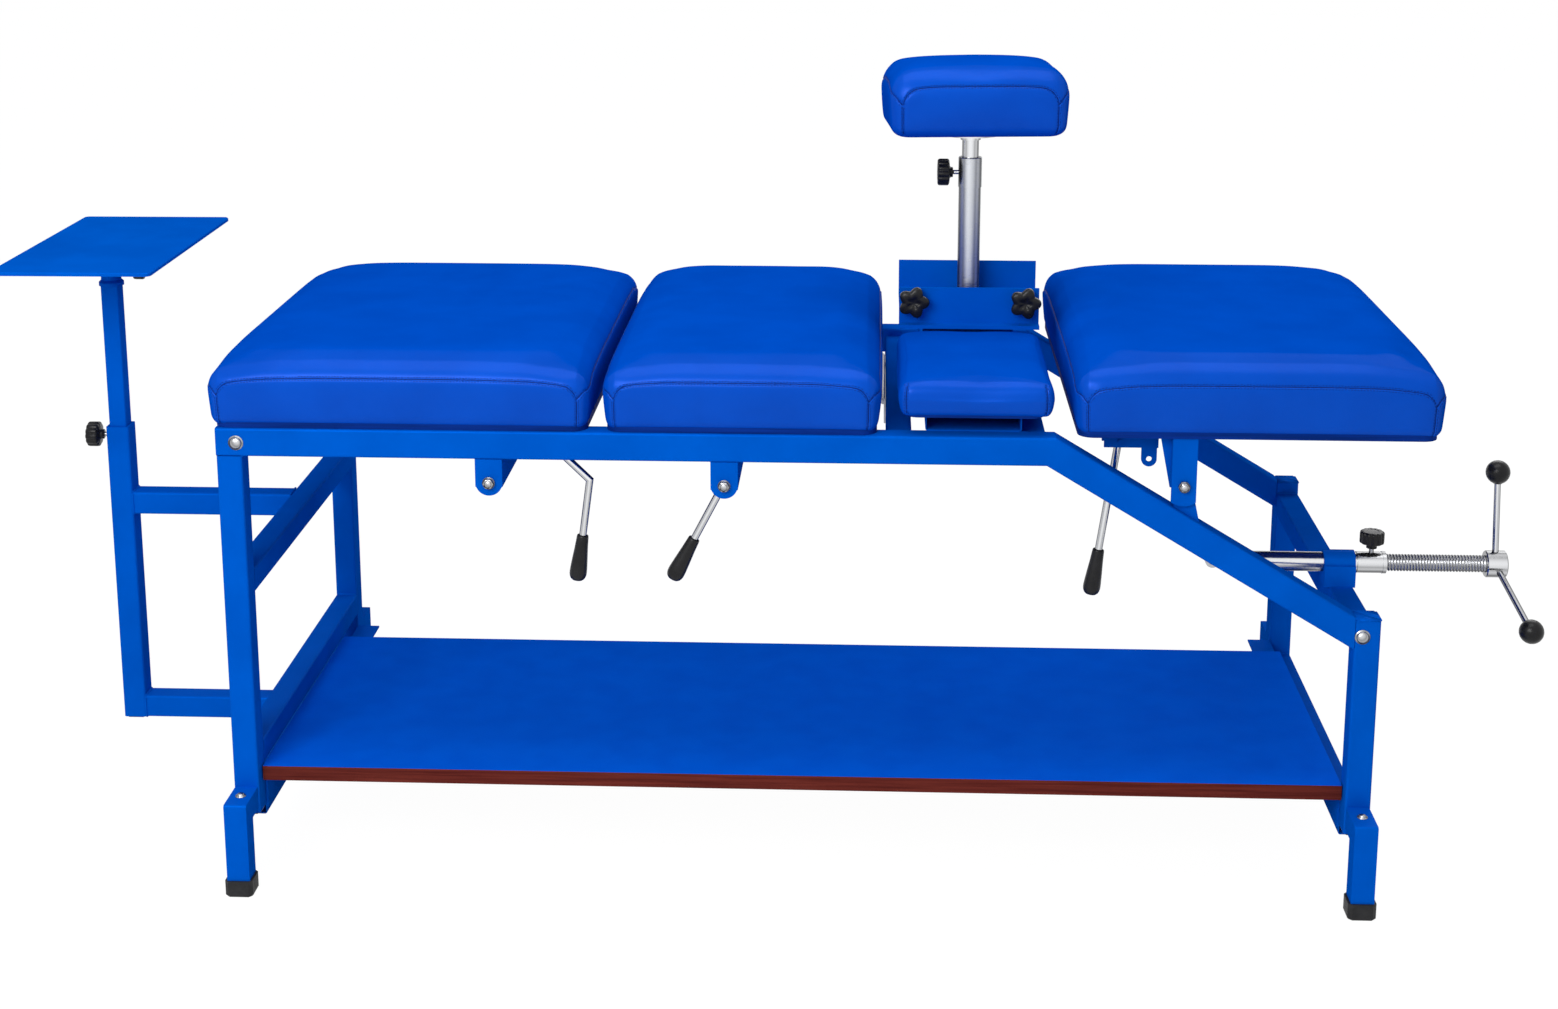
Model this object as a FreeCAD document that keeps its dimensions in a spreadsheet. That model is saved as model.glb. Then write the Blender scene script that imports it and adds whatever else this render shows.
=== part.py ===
import FreeCAD, Part
import math
import os
import Sketcher

# Traction bed: a welded square-tube frame with a lowered head end, three tilting pads, one fixed
# pad that carries a height-adjustable bolster, a side tray on a telescopic mast and a traction
# screw with a two-armed handle. Millimetres, +Z up, bed length along X, viewer on the -Y side.
# Positions are first given from the left front corner of the frame and then moved by
# centre_x and centre_y, so the origin is on the floor below the middle of the whole bed.

os.makedirs("parts", exist_ok=True)
doc = FreeCAD.newDocument("traction_bed")
V = FreeCAD.Vector

SIZES = [
    ("centre_x", 826.1), ("centre_y", 375),
    # frame
    ("tube", 40), ("wall", 2), ("rail_high", 45), ("frame_long", 1800), ("frame_deep", 750),
    ("rail_top", 750), ("kink_top_x", 1294), ("head_top", 464),
    ("slope_angle", 31.1), ("corner", 4), ("leg_low", 110),
    ("cross_upper_top", 510), ("cross_guard_top", 220), ("cross_base_top", 130),
    ("hinge_tube_top", 735), ("hinge_tube_high", 40), ("head_cross_top", 444),
    ("foot_tube", 36), ("foot_top", 155), ("foot_reach", 70), ("foot_low", 8),
    ("rubber_wide", 44), ("rubber_high", 27),
    # shelf
    ("shelf_top", 182), ("shelf_thick", 24), ("shelf_gap", 2), ("shelf_front", 20), ("shelf_deep", 570),
    # brackets below the rails
    ("bracket_wide", 42), ("bracket_side_low", 661), ("bracket_axis_high", 668), ("bracket_plate", 4),
    ("bracket_left_x", 424), ("bracket_right_x", 788), ("shaft_radius", 6),
    # pads
    ("board_gap", 0.3), ("board_thick", 12), ("board_inset", 12), ("pad_top", 860), ("pad_bevel", 24), ("small_bevel", 17), ("pad_corner", 36),
    ("pad_over", 8), ("pad_over_back", 12),
    ("foot_pad_left", -15), ("foot_pad_right", 588), ("seat_pad_left", 594), ("seat_pad_right", 1034),
    ("small_pad_left", 1050), ("small_pad_right", 1290), ("head_pad_left", 1316), ("head_pad_right", 1884),
    ("small_pad_back", 350), ("small_pad_low", 778), ("small_pad_top", 838),
    ("base_left", 1096), ("base_right", 1244),
    ("hinge_high", 745), ("foot_hinge_x", -6), ("seat_hinge_x", 1030), ("barrel", 5),
    ("head_pivot_run", 197), ("head_pivot_drop", 76), ("lever_pin_drop", 24),
    # tray stand
    ("mast_left", -320), ("mast_front", 420), ("mast_top", 628), ("mast_low", 90), ("mast_wall", 4.5),
    ("inner_tube", 30), ("inner_in", 228), ("inner_out", 250),
    ("tray_wide", 264), ("tray_deep", 492), ("tray_thick", 6), ("tray_up", 69), ("tray_right", 14), ("tray_near", 8),
    ("mast_knob_down", 18), ("tray_knob_up", 26), ("stud_hole", 4.15),
    # bolster
    ("post_x", 1173), ("post_y", 406), ("post_radius", 18.5), ("post_bore", 14.4), ("post_inner", 14),
    ("post_foot", 878), ("post_clear", 38), ("post_top", 1117), ("bolster_low", 1160), ("bolster_high", 120),
    ("bolster_bevel", 30), ("bolster_wide", 300), ("bolster_deep", 210), ("post_knob_high", 1091),
    # traction screw
    ("screw_y", 230), ("screw_high", 480), ("screw_radius", 14), ("guide_radius", 16), ("guide_bore", 14.4),
    ("guide_inset", 210), ("guide_long", 216), ("nut_long", 47), ("screw_out", 214), ("screw_long", 323.7),
    ("eye_out", 441), ("eye_radius", 12), ("eye_bore", 7),
    ("hub_long", 33), ("hub_radius", 22), ("arm_radius", 6), ("handle_radius", 5.2), ("ball_radius", 19.5), ("arm_reach", 156),
    ("screw_knob_along", 24),
]
sheet = doc.addObject("Spreadsheet::Sheet", "Dims")
for row, (alias, number) in enumerate(SIZES, start=1):
    sheet.set("A%d" % row, alias)
    sheet.set("B%d" % row, str(number))
    sheet.setAlias("B%d" % row, alias)
doc.recompute()
NUMBER = dict(SIZES)
ALIASES = sorted(NUMBER, key=len, reverse=True)

UP = FreeCAD.Rotation()
ALONG_X = FreeCAD.Rotation(V(0, 1, 0), V(0, 0, 1), V(1, 0, 0), "ZXY")     # local z to +X, local x to +Y
ALONG_Y = FreeCAD.Rotation(V(1, 0, 0), V(0, 0, -1), V(0, 1, 0), "ZXY")    # local z to +Y, local y down
ELEVATION = FreeCAD.Rotation(V(1, 0, 0), V(0, 0, 1), V(0, -1, 0), "ZXY")  # local x to +X, local y to +Z
TO_LEFT = FreeCAD.Rotation(V(0, 1, 0), V(0, 0, -1), V(-1, 0, 0), "ZXY")   # local z to -X

# Places that follow from the sizes
PIVOT_X, PIVOT_Z = "(kink_top_x + head_pivot_run)", "(rail_top - head_pivot_drop)"
LEVER_PIN_Z = "(rail_top + board_gap - lever_pin_drop)"
INNER_LOW, INNER_TOP = "(mast_top - inner_in)", "(mast_top + inner_out)"
GUIDE_LEFT = "(frame_long - guide_inset)"
GUIDE_RIGHT = "(frame_long - guide_inset + guide_long)"
NUT_RIGHT = "(frame_long - guide_inset + guide_long + nut_long)"
SCREW_RIGHT = "(frame_long + screw_out)"
SCREW_LEFT = "(frame_long + screw_out - screw_long)"
EYE_X = "(frame_long + screw_out - eye_out)"

nodes = []
made = {}


def full(expression):
    """Write every size name in an expression as a cell of the sheet."""
    text = str(expression)
    out, i = "", 0
    while i < len(text):
        if text[i].isalpha() and (i == 0 or not (text[i - 1].isalnum() or text[i - 1] in "_.")):
            j = i
            while j < len(text) and (text[j].isalnum() or text[j] == "_"):
                j += 1
            word = text[i:j]
            out += "Dims." + word if word in NUMBER else word
            i = j
        else:
            out += text[i]
            i += 1
    return out


def number(expression):
    found = doc.Dims.evalExpression(full(expression).replace("Dims.", ""))
    return float(getattr(found, "Value", found))


def body(label, x, y, z, turn=UP):
    """A named sub-part whose local frame stands at (x, y, z) of the frame's corner system."""
    item = doc.addObject("PartDesign::Body", label)
    item.Label = label
    item.Placement = FreeCAD.Placement(V(), turn)
    item.setExpression("Placement.Base.x", full("(%s) - centre_x" % x))
    item.setExpression("Placement.Base.y", full("(%s) - centre_y" % y))
    item.setExpression("Placement.Base.z", full(z))
    made[label] = item
    nodes.append(label)
    return item


def sketch(item, plane="XY", height=None):
    s = doc.addObject("Sketcher::SketchObject", item.Label + "_sketch")
    item.addObject(s)
    face = [f for f in item.Origin.OriginFeatures if plane + "_Plane" in (getattr(f, "Role", "") or f.Name)][0]
    s.AttachmentSupport = [(face, "")]
    s.MapMode = "FlatFace"
    if height is not None:
        s.setExpression("AttachmentOffset.Base.z", full(height))
    return s


def pin_down(s, geometry, point, x, y):
    """Tie one point of a sketch to two expressions."""
    for kind, axis, expression in (("DistanceX", -2, x), ("DistanceY", -1, y)):
        amount = number(expression)
        if abs(amount) < 1e-9:
            s.addConstraint(Sketcher.Constraint("PointOnObject", geometry, point, axis))
            continue
        if amount > 0:
            c = s.addConstraint(Sketcher.Constraint(kind, -1, 1, geometry, point, amount))
            text = expression
        else:
            c = s.addConstraint(Sketcher.Constraint(kind, geometry, point, -1, 1, -amount))
            text = "-(%s)" % expression
        s.setExpression("Constraints[%d]" % c, full(text))


def polygon(s, points):
    at = [V(number(x), number(y), 0) for x, y in points]
    first = s.GeometryCount
    for a, b in zip(at, at[1:] + at[:1]):
        s.addGeometry(Part.LineSegment(a, b), False)
    n = len(at)
    for i in range(n):
        s.addConstraint(Sketcher.Constraint("Coincident", first + i, 2, first + (i + 1) % n, 1))
    for i, (x, y) in enumerate(points):
        pin_down(s, first + i, 1, x, y)


def circle(s, x, y, radius):
    g = s.addGeometry(Part.Circle(V(number(x), number(y), 0), V(0, 0, 1), number(radius)), False)
    pin_down(s, g, 3, x, y)
    c = s.addConstraint(Sketcher.Constraint("Radius", g, number(radius)))
    s.setExpression("Constraints[%d]" % c, full(radius))


def rectangle(s, x0, y0, x1, y1):
    polygon(s, [(x0, y0), (x1, y0), (x1, y1), (x0, y1)])


def feature(item, kind, profile, **options):
    f = doc.addObject("PartDesign::" + kind, item.Label + "_" + kind)
    item.addObject(f)
    f.Profile = profile
    for key, choice in options.items():
        if isinstance(choice, str) and key in ("Length", "Length2"):
            f.setExpression(key, full(choice))
        else:
            setattr(f, key, choice)
    item.Tip = f
    profile.Visibility = False
    return f


def pad(item, profile, length, **options):
    return feature(item, "Pad", profile, Length=str(length), **options)


def cut(item, profile, length, **options):
    return feature(item, "Pocket", profile, Length=str(length), **options)


def through(item, profile):
    return feature(item, "Pocket", profile, Type=1, Midplane=True)


def revolve(item, points):
    s = sketch(item, "XZ")
    polygon(s, points)
    return feature(item, "Revolution", s, ReferenceAxis=(s, ["V_Axis"]), Angle=360)


def spin_cut(item, points):
    s = sketch(item, "XZ")
    polygon(s, points)
    return feature(item, "Groove", s, ReferenceAxis=(s, ["V_Axis"]), Angle=360)


def around(item, source, count):
    p = doc.addObject("PartDesign::PolarPattern", item.Label + "_pattern")
    item.addObject(p)
    p.Originals = [source]
    axis = [f for f in item.Origin.OriginFeatures if "Z_Axis" in (getattr(f, "Role", "") or f.Name)][0]
    p.Axis = (axis, [""])
    p.Angle = 360
    p.Occurrences = count
    item.Tip = p
    return p


def soften(item, radius, choose, kind="Fillet"):
    """Round (or bevel) the edges of the latest shape that choose() picks."""
    doc.recompute()
    base = item.Tip
    picked = ["Edge%d" % (i + 1) for i, e in enumerate(base.Shape.Edges) if choose(e)]
    f = doc.addObject("PartDesign::" + kind, item.Label + "_" + kind)
    item.addObject(f)
    f.Base = (base, picked)
    f.setExpression("Radius" if kind == "Fillet" else "Size", full(radius))
    item.Tip = f
    return f


def runs_along(e, axis):
    return e.Curve.TypeId == "Part::GeomLine" and abs(abs(e.Curve.Direction.dot(axis)) - 1) < 1e-6


def box_tube(label, x, y, z, turn, wide, high, long, wall="wall", rounded="corner"):
    """A hollow section: outline wide by high in local x and y, running along local z."""
    item = body(label, x, y, z, turn)
    s = sketch(item)
    rectangle(s, 0, 0, wide, high)
    rectangle(s, wall, wall, "%s - %s" % (wide, wall), "%s - %s" % (high, wall))
    pad(item, s, long)
    w, h = number(wide), number(high)

    def outer(e):
        c = e.CenterOfMass
        return runs_along(e, V(0, 0, 1)) and min(c.x, w - c.x) < 0.01 and min(c.y, h - c.y) < 0.01
    soften(item, rounded, outer)
    return item


# Frame: rails, sloped rails and legs, the same on both sides

SIDES = (("front", "0", -1), ("back", "frame_deep - tube", 1))
MITRE = "rail_high * tan(slope_angle / 2)"
RUN = "(frame_long - tube - kink_top_x) / cos(slope_angle)"
DOWN_SLOPE = FreeCAD.Rotation(V(0, 1, 0), NUMBER["slope_angle"]) * ALONG_X

for side, y0, _ in SIDES:
    rail = box_tube("rail_" + side, 0, y0, "rail_top - rail_high", ALONG_X, "tube", "rail_high", "kink_top_x")
    s = sketch(rail, "YZ")
    polygon(s, [("0 - 1", "kink_top_x - (rail_high + 1) * tan(slope_angle / 2)"),
                ("rail_high + 1", "kink_top_x + tan(slope_angle / 2)"),
                ("rail_high + 1", "kink_top_x + 20"), ("0 - 1", "kink_top_x + 20")])
    through(rail, s)

    # the sloped rail's local z runs down the slope and its local y points out of its top
    slope = box_tube("slope_" + side, "kink_top_x - rail_high * sin(slope_angle)", y0,
                     "rail_top - rail_high * cos(slope_angle)", DOWN_SLOPE, "tube", "rail_high", RUN + " + 30")
    s = sketch(slope, "YZ")
    polygon(s, [("0 - 1", "(rail_high + 1) * tan(slope_angle / 2)"), ("rail_high + 1", "0 - tan(slope_angle / 2)"),
                ("rail_high + 1", "0 - 20"), ("0 - 1", "0 - 20")])
    through(slope, s)
    s = sketch(slope, "YZ")
    polygon(s, [("rail_high + 1", RUN + " - tan(slope_angle)"),
                ("0 - 1", RUN + " + (rail_high + 1) * tan(slope_angle)"),
                ("0 - 1", RUN + " + 90"), ("rail_high + 1", RUN + " + 90")])
    through(slope, s)

    box_tube("leg_foot_" + side, 0, y0, "leg_low", UP, "tube", "tube", "rail_top - rail_high - leg_low")
    box_tube("leg_head_" + side, "frame_long - tube", y0, "leg_low", UP, "tube", "tube", "head_top - leg_low")

# Cross tubes between the two sides, given by their left edge and their top

for label, x, top, wide, high in (
        ("cross_foot_upper", "0", "cross_upper_top", "tube", "tube"),
        ("cross_foot_guard", "0", "cross_guard_top", "tube", "tube"),
        ("cross_foot_base", "0", "cross_base_top", "tube", "tube"),
        ("cross_head_base", "frame_long - tube", "cross_base_top", "tube", "tube"),
        ("cross_head_top", "frame_long - tube", "head_cross_top", "tube", "tube"),
        ("cross_hinge_foot", "0", "hinge_tube_top", "tube", "hinge_tube_high"),
        ("cross_hinge_seat", "seat_hinge_x + 6", "hinge_tube_top", "tube", "hinge_tube_high"),
        ("cross_kink", "kink_top_x - 52", "rail_top - 5", "tube", "tube")):
    box_tube(label, x, "tube", top, ALONG_Y, wide, high, "frame_deep - 2 * tube")

# Feet: a short stub welded to each leg, a lower leg and a rubber cap

for end, x in (("foot", "(tube - foot_tube) / 2"), ("head", "frame_long - (tube + foot_tube) / 2")):
    for side, y, out in (("front", "0", "0 - 1"), ("back", "frame_deep", "1")):
        foot = body("stand_%s_%s" % (end, side), x, y, 0, ALONG_X)
        s = sketch(foot)
        reach = "(%s) * foot_reach" % out
        inner = "(%s) * (foot_reach - foot_tube)" % out
        polygon(s, [(reach, "foot_low"), (reach, "foot_top"), ("0", "foot_top"), ("0", "foot_top - foot_tube"),
                    (inner, "foot_top - foot_tube"), (inner, "foot_low")])
        pad(foot, s, "foot_tube")
        s = sketch(foot, "XZ", "0 - foot_low")
        a, b = "(%s) * (foot_reach - wall)" % out, "(%s) * (foot_reach - foot_tube + wall)" % out
        rectangle(s, a, "wall", b, "foot_tube - wall")
        cut(foot, s, "foot_top - foot_low - wall")
        soften(foot, "corner", lambda e: runs_along(e, V(0, 0, 1)) and e.CenterOfMass.y > 150
               and abs(e.CenterOfMass.x) > 60)

        cap = body("rubber_%s_%s" % (end, side), "%s - (rubber_wide - foot_tube) / 2" % x,
                   "%s + (%s) * (foot_reach - foot_tube / 2) - rubber_wide / 2" % (y, out), 0)
        s = sketch(cap)
        rectangle(s, 0, 0, "rubber_wide", "rubber_wide")
        pad(cap, s, "rubber_high")
        s = sketch(cap, "XY", "rubber_high")
        gap = "(rubber_wide - foot_tube) / 2 - 0.2"
        rectangle(s, gap, gap, "rubber_wide - (%s)" % gap, "rubber_wide - (%s)" % gap)
        cut(cap, s, "rubber_high - foot_low + 0.2")
        w = NUMBER["rubber_wide"]
        soften(cap, 6, lambda e: runs_along(e, V(0, 0, 1)) and min(e.CenterOfMass.x, w - e.CenterOfMass.x) < 0.1,
               "Chamfer")
        soften(cap, 2.5, lambda e: e.BoundBox.ZMax < 0.01, "Chamfer")

# Shelf on two angle ledges

shelf = body("shelf", "tube + shelf_gap", "shelf_front", "shelf_top - shelf_thick")
s = sketch(shelf)
rectangle(s, 0, 0, "frame_long - 2 * (tube + shelf_gap)", "shelf_deep")
pad(shelf, s, "shelf_thick")

for end, x, out in (("foot", "tube", "1"), ("head", "frame_long - tube", "0 - 1")):
    ledge = body("ledge_" + end, x, "tube", "shelf_top - shelf_thick", ALONG_Y)
    s = sketch(ledge)
    polygon(s, [("0", "0"), ("(%s) * 40" % out, "0"), ("(%s) * 40" % out, "3"), ("(%s) * 3" % out, "3"),
                ("(%s) * 3" % out, "55"), ("0", "55")])
    pad(ledge, s, "frame_deep - 2 * tube")

# Stay brackets: a folded channel under both rails with a rounded ear at each end

for label, x in (("bracket_foot", "bracket_left_x"), ("bracket_seat", "bracket_right_x")):
    item = body(label, "%s - bracket_wide / 2" % x, 0, "rail_top - rail_high", ALONG_Y)
    s = sketch(item)
    side_low = "rail_top - rail_high - bracket_side_low"
    polygon(s, [("0", "0"), ("bracket_wide", "0"), ("bracket_wide", side_low), ("bracket_wide - 3", side_low),
                ("bracket_wide - 3", "3"), ("3", "3"), ("3", side_low), ("0", side_low)])
    pad(item, s, "frame_deep")
    axis_down = "rail_top - rail_high - bracket_axis_high"
    for height in ("0", "frame_deep - bracket_plate"):
        s = sketch(item, "XY", height)
        rectangle(s, "0", "0", "bracket_wide", axis_down)
        pad(item, s, "bracket_plate")
        s = sketch(item, "XY", height)
        circle(s, "bracket_wide / 2", axis_down, "bracket_wide / 2")
        pad(item, s, "bracket_plate")
    s = sketch(item)
    circle(s, "bracket_wide / 2", axis_down, "shaft_radius + 0.3")
    cut(item, s, "frame_deep", Reversed=True)
    # a gap in one side lets the stay swing
    s = sketch(item, "YZ", "0 - 1")
    rectangle(s, "3", "frame_deep / 2 - 18", "60", "frame_deep / 2 + 18")
    cut(item, s, "8", Reversed=True)


def shaft(label, x, z):
    """A plain shaft right through both ears of a stay bracket, with a domed nut at each end."""
    item = body(label, x, 0, z, ALONG_Y)
    s = sketch(item, "XY", "0 - 3")
    circle(s, 0, 0, "shaft_radius")
    pad(item, s, "frame_deep + 6")
    for height in ("0 - 8", "frame_deep + 0.3"):
        s = sketch(item, "XY", height)
        circle(s, 0, 0, "7.6")
        pad(item, s, "7.7")
    soften(item, 2.5, lambda e: e.Curve.TypeId == "Part::GeomCircle" and e.Curve.Radius > 7
           and (e.CenterOfMass.z < -7.9 or e.CenterOfMass.z > NUMBER["frame_deep"] + 7.9), "Chamfer")
    return item


shaft("shaft_foot", "bracket_left_x", "bracket_axis_high")
shaft("shaft_seat", "bracket_right_x", "bracket_axis_high")


def stay(name, x0, z0, x1, z1, tube_end, rod_start):
    """A telescopic stay at mid-depth: a tube with an eye on the shaft and a rod with an eye at the pad."""
    dx, dz = number(x1) - number(x0), number(z1) - number(z0)
    turn = FreeCAD.Rotation(V(0, 1, 0), math.degrees(math.atan2(dx, dz)))
    long = "sqrt((%s - (%s))^2 + (%s - (%s))^2)" % (x1, x0, z1, z0)
    tube = body("stay_tube_" + name, x0, "frame_deep / 2", z0, turn)
    revolve(tube, [("0", "6"), ("9", "6"), ("9", tube_end), ("6.3", tube_end), ("6.3", "16"), ("0", "16")])
    s = sketch(tube, "XZ")
    circle(s, 0, 0, "11")
    pad(tube, s, "14", Midplane=True)
    s = sketch(tube, "XZ")
    circle(s, 0, 0, "shaft_radius + 0.3")
    through(tube, s)
    rod = body("stay_rod_" + name, x0, "frame_deep / 2", z0, turn)
    revolve(rod, [("0", rod_start), ("6", rod_start), ("6", long + " - 8"), ("0", long + " - 8")])
    s = sketch(rod, "XZ")
    circle(s, 0, long, "10")
    pad(rod, s, "13", Midplane=True)
    s = sketch(rod, "XZ")
    circle(s, 0, long, "6.6")
    through(rod, s)


def clevis(label, x, z):
    """Two ears below a pad board, with the pin that the stay's eye hangs on."""
    item = body(label, x, "frame_deep / 2 + 12", z, ELEVATION)
    top = "rail_top + board_gap - (%s)" % z
    s = sketch(item)
    rectangle(s, "0 - 12", "0", "12", top)
    pad(item, s, "24")
    s = sketch(item)
    circle(s, 0, 0, "12")
    pad(item, s, "24")
    s = sketch(item, "YZ", "0 - 20")
    rectangle(s, "0 - 20", "4.5", "%s - 3" % top, "19.5")
    cut(item, s, "40", Reversed=True)
    s = sketch(item)
    circle(s, 0, 0, "4")
    cut(item, s, "24", Reversed=True)
    pin = body(label.replace("clevis", "stay_pin"), x, "frame_deep / 2 - 13", z, ALONG_Y)
    s = sketch(pin)
    circle(s, 0, 0, "4")
    pad(pin, s, "26")


stay("foot", "bracket_left_x", "bracket_axis_high", "100", "710", "230", "150")
clevis("clevis_foot", "100", "710")
stay("seat", "bracket_right_x", "bracket_axis_high", "640", "722", "110", "40")
clevis("clevis_seat", "640", "722")

# Pads: a plywood board let into the underside of each upholstered cushion


def pad_pair(name, left, right, low, front, back, top, board_low, board_high, bevel):
    board = body("board_" + name, "%s + board_inset" % left, "%s + board_inset" % front, board_low)
    s = sketch(board)
    wide, deep = "%s - %s" % (right, left), "%s - (%s)" % (back, front)
    rectangle(s, 0, 0, wide + " - 2 * board_inset", deep + " - 2 * board_inset")
    pad(board, s, board_high)
    soften(board, "pad_corner - board_inset", lambda e: runs_along(e, V(0, 0, 1)))
    item = body("cushion_" + name, left, front, low)
    s = sketch(item)
    rectangle(s, 0, 0, wide, deep)
    high = "%s - (%s)" % (top, low)
    pad(item, s, high)
    h = number(high)
    soften(item, "pad_corner", lambda e: runs_along(e, V(0, 0, 1)))
    soften(item, bevel, lambda e: e.BoundBox.ZMin > h - 0.01, "Chamfer")
    soften(item, 7, lambda e: e.BoundBox.ZMax < 0.01, "Chamfer")
    s = sketch(item)
    rectangle(s, "board_inset", "board_inset", wide + " - board_inset", deep + " - board_inset")
    cut(item, s, "%s + %s - (%s)" % (board_low, board_high, low), Reversed=True)


BOARD_LOW = "rail_top + board_gap"
for name, left, right in (("foot", "foot_pad_left", "foot_pad_right"), ("seat", "seat_pad_left", "seat_pad_right"),
                          ("head", "head_pad_left", "head_pad_right")):
    pad_pair(name, left, right, "rail_top + 5", "0 - pad_over", "frame_deep + pad_over_back", "pad_top", BOARD_LOW, "board_thick",
             "pad_bevel")
pad_pair("small", "small_pad_left", "small_pad_right", "small_pad_low + 2", "4 - pad_over", "small_pad_back",
         "small_pad_top", "small_pad_low", "10", "small_bevel")
box_tube("base_small", "base_left", "34", "small_pad_low", ALONG_Y, "base_right - base_left",
         "small_pad_low - rail_top", "frame_deep - 68")


def hinge(name, x, leaf_side, board_side):
    """A strip hinge: a fixed leaf with two knuckles, a board leaf with the middle knuckle, and its pin."""
    fixed = body("hinge_%s_fixed" % name, x, "frame_deep / 2 - 150", "hinge_high", ALONG_Y)
    a, b = "(%s) * 3" % leaf_side, "(%s) * 6" % leaf_side
    s = sketch(fixed)
    rectangle(s, a, "barrel - 0.8", b, "38")
    pad(fixed, s, "300")
    for height in ("0", "250"):
        s = sketch(fixed, "XY", height)
        rectangle(s, "0", "0", b, "barrel + 1")
        pad(fixed, s, "50")
        s = sketch(fixed, "XY", height)
        circle(s, 0, 0, "barrel")
        pad(fixed, s, "50")
    s = sketch(fixed)
    circle(s, 0, 0, "2.6")
    cut(fixed, s, "300", Reversed=True)
    moving = body("hinge_%s_board" % name, x, "frame_deep / 2 - 99.5", "hinge_high", ALONG_Y)
    s = sketch(moving)
    rectangle(s, "0", "hinge_high - rail_top - board_gap", "(%s) * 48" % board_side,
              "hinge_high - rail_top - board_gap + 3")
    pad(moving, s, "199")
    s = sketch(moving)
    circle(s, 0, 0, "barrel")
    pad(moving, s, "199")
    s = sketch(moving)
    circle(s, 0, 0, "2.8")
    cut(moving, s, "199", Reversed=True)
    pin = body("hinge_%s_pin" % name, x, "frame_deep / 2 - 152", "hinge_high", ALONG_Y)
    s = sketch(pin)
    circle(s, 0, 0, "2.5")
    pad(pin, s, "304")


hinge("foot", "foot_hinge_x", "1", "1")
hinge("seat", "seat_hinge_x", "1", "0 - 1")

# Head pad: two upright legs that turn on bolts in ears welded to the sloped rails

for side, y, turn in (("front", "0", 1), ("back", "frame_deep", -1)):
    # local z points from the outside of the bed towards the middle
    look = ALONG_Y if turn == 1 else ELEVATION
    up = "0 - 1" if turn == 1 else "1"
    leg = body("head_leg_" + side, PIVOT_X, y, PIVOT_Z, look)
    top = "(%s) * (head_pivot_drop + board_gap)" % up
    s = sketch(leg, "XY", "8")
    rectangle(s, "0 - 19", "(%s) * (0 - 22)" % up, "19", top)
    pad(leg, s, "5")
    s = sketch(leg, "XY", "8")
    circle(s, 0, 0, "32")
    f = pad(leg, s, "5")
    s = sketch(leg, "XY", "7")
    rectangle(s, "19", "0 - 60", "60", "60")
    cut(leg, s, "10", Reversed=True)
    s = sketch(leg, "XY", "7")
    rectangle(s, "0 - 60", "0 - 60", "0 - 19", "60")
    cut(leg, s, "10", Reversed=True)
    for a, b in (("0 - 19", "0 - 15"), ("15", "19")):
        s = sketch(leg, "XY", "8")
        rectangle(s, a, "(%s) * 20" % up, b, top)
        pad(leg, s, "26")
    s = sketch(leg, "XY", "8")
    rectangle(s, "0 - 19", "%s - (%s) * 4" % (top, up), "19", top)
    pad(leg, s, "60")
    # the gusset towards the lever block
    s = sketch(leg, "XY", "28")
    polygon(s, [("0 - 36", top), ("0 - 15", top), ("0 - 15", "(%s) * (0 - 8)" % up), ("0 - 19", "(%s) * (0 - 8)" % up)])
    pad(leg, s, "4")
    s = sketch(leg)
    circle(s, 0, 0, "5.3")
    cut(leg, s, "100", Reversed=True)

    ear = body("head_ear_" + side, PIVOT_X, y, PIVOT_Z, look)
    s = sketch(ear, "XY", "16")
    # the slope's top at distance t right of the pivot lies this far below it
    drop = "((head_pivot_run + (%s)) * tan(slope_angle) - head_pivot_drop)"
    polygon(s, [("0 - 13", "0"), ("0 - 13", "(%s) * (0 - 1) * %s" % (up, drop % "0 - 13")),
                ("26", "(%s) * (0 - 1) * %s" % (up, drop % "26")), ("13", "0")])
    pad(ear, s, "8")
    s = sketch(ear, "XY", "16")
    circle(s, 0, 0, "13")
    pad(ear, s, "8")
    s = sketch(ear)
    circle(s, 0, 0, "5.2")
    cut(ear, s, "100", Reversed=True)

    bolt = body("head_bolt_" + side, PIVOT_X, y, PIVOT_Z, look)
    s = sketch(bolt, "XY", "2")
    points = [("9 * cos(%d)" % a, "9 * sin(%d)" % a) for a in range(0, 360, 60)]
    polygon(s, points)
    pad(bolt, s, "5.7")
    s = sketch(bolt, "XY", "7")
    circle(s, 0, 0, "5")
    pad(bolt, s, "25")
    s = sketch(bolt, "XY", "24")
    polygon(s, points)
    pad(bolt, s, "7")

box_tube("head_cross", PIVOT_X + " - 16", "68", "rail_top + board_gap", ALONG_Y, "32", "26", "frame_deep - 136")

block = body("head_block", PIVOT_X + " - 117", "70", "rail_top + board_gap", ALONG_Y)
s = sketch(block)
rectangle(s, "0", "0", "84", "34")
pad(block, s, "40")
s = sketch(block, "YZ", "0 - 1")
rectangle(s, "3", "4", "40", "36")
cut(block, s, "90", Reversed=True)
s = sketch(block)
circle(s, "70", "52", "12")
pad(block, s, "3.5")
s = sketch(block)
rectangle(s, "58", "30", "82", "52")
pad(block, s, "3.5")
s = sketch(block)
circle(s, "25", "lever_pin_drop", "4")
cut(block, s, "60", Reversed=True)
s = sketch(block)
circle(s, "70", "52", "4.5")
cut(block, s, "60", Reversed=True)
pin = body("lever_pin_head", PIVOT_X + " - 92", "67", LEVER_PIN_Z, ALONG_Y)
s = sketch(pin)
circle(s, 0, 0, "4")
pad(pin, s, "46")

# Release levers: a round rod from an eye, with a tapered grip


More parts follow.
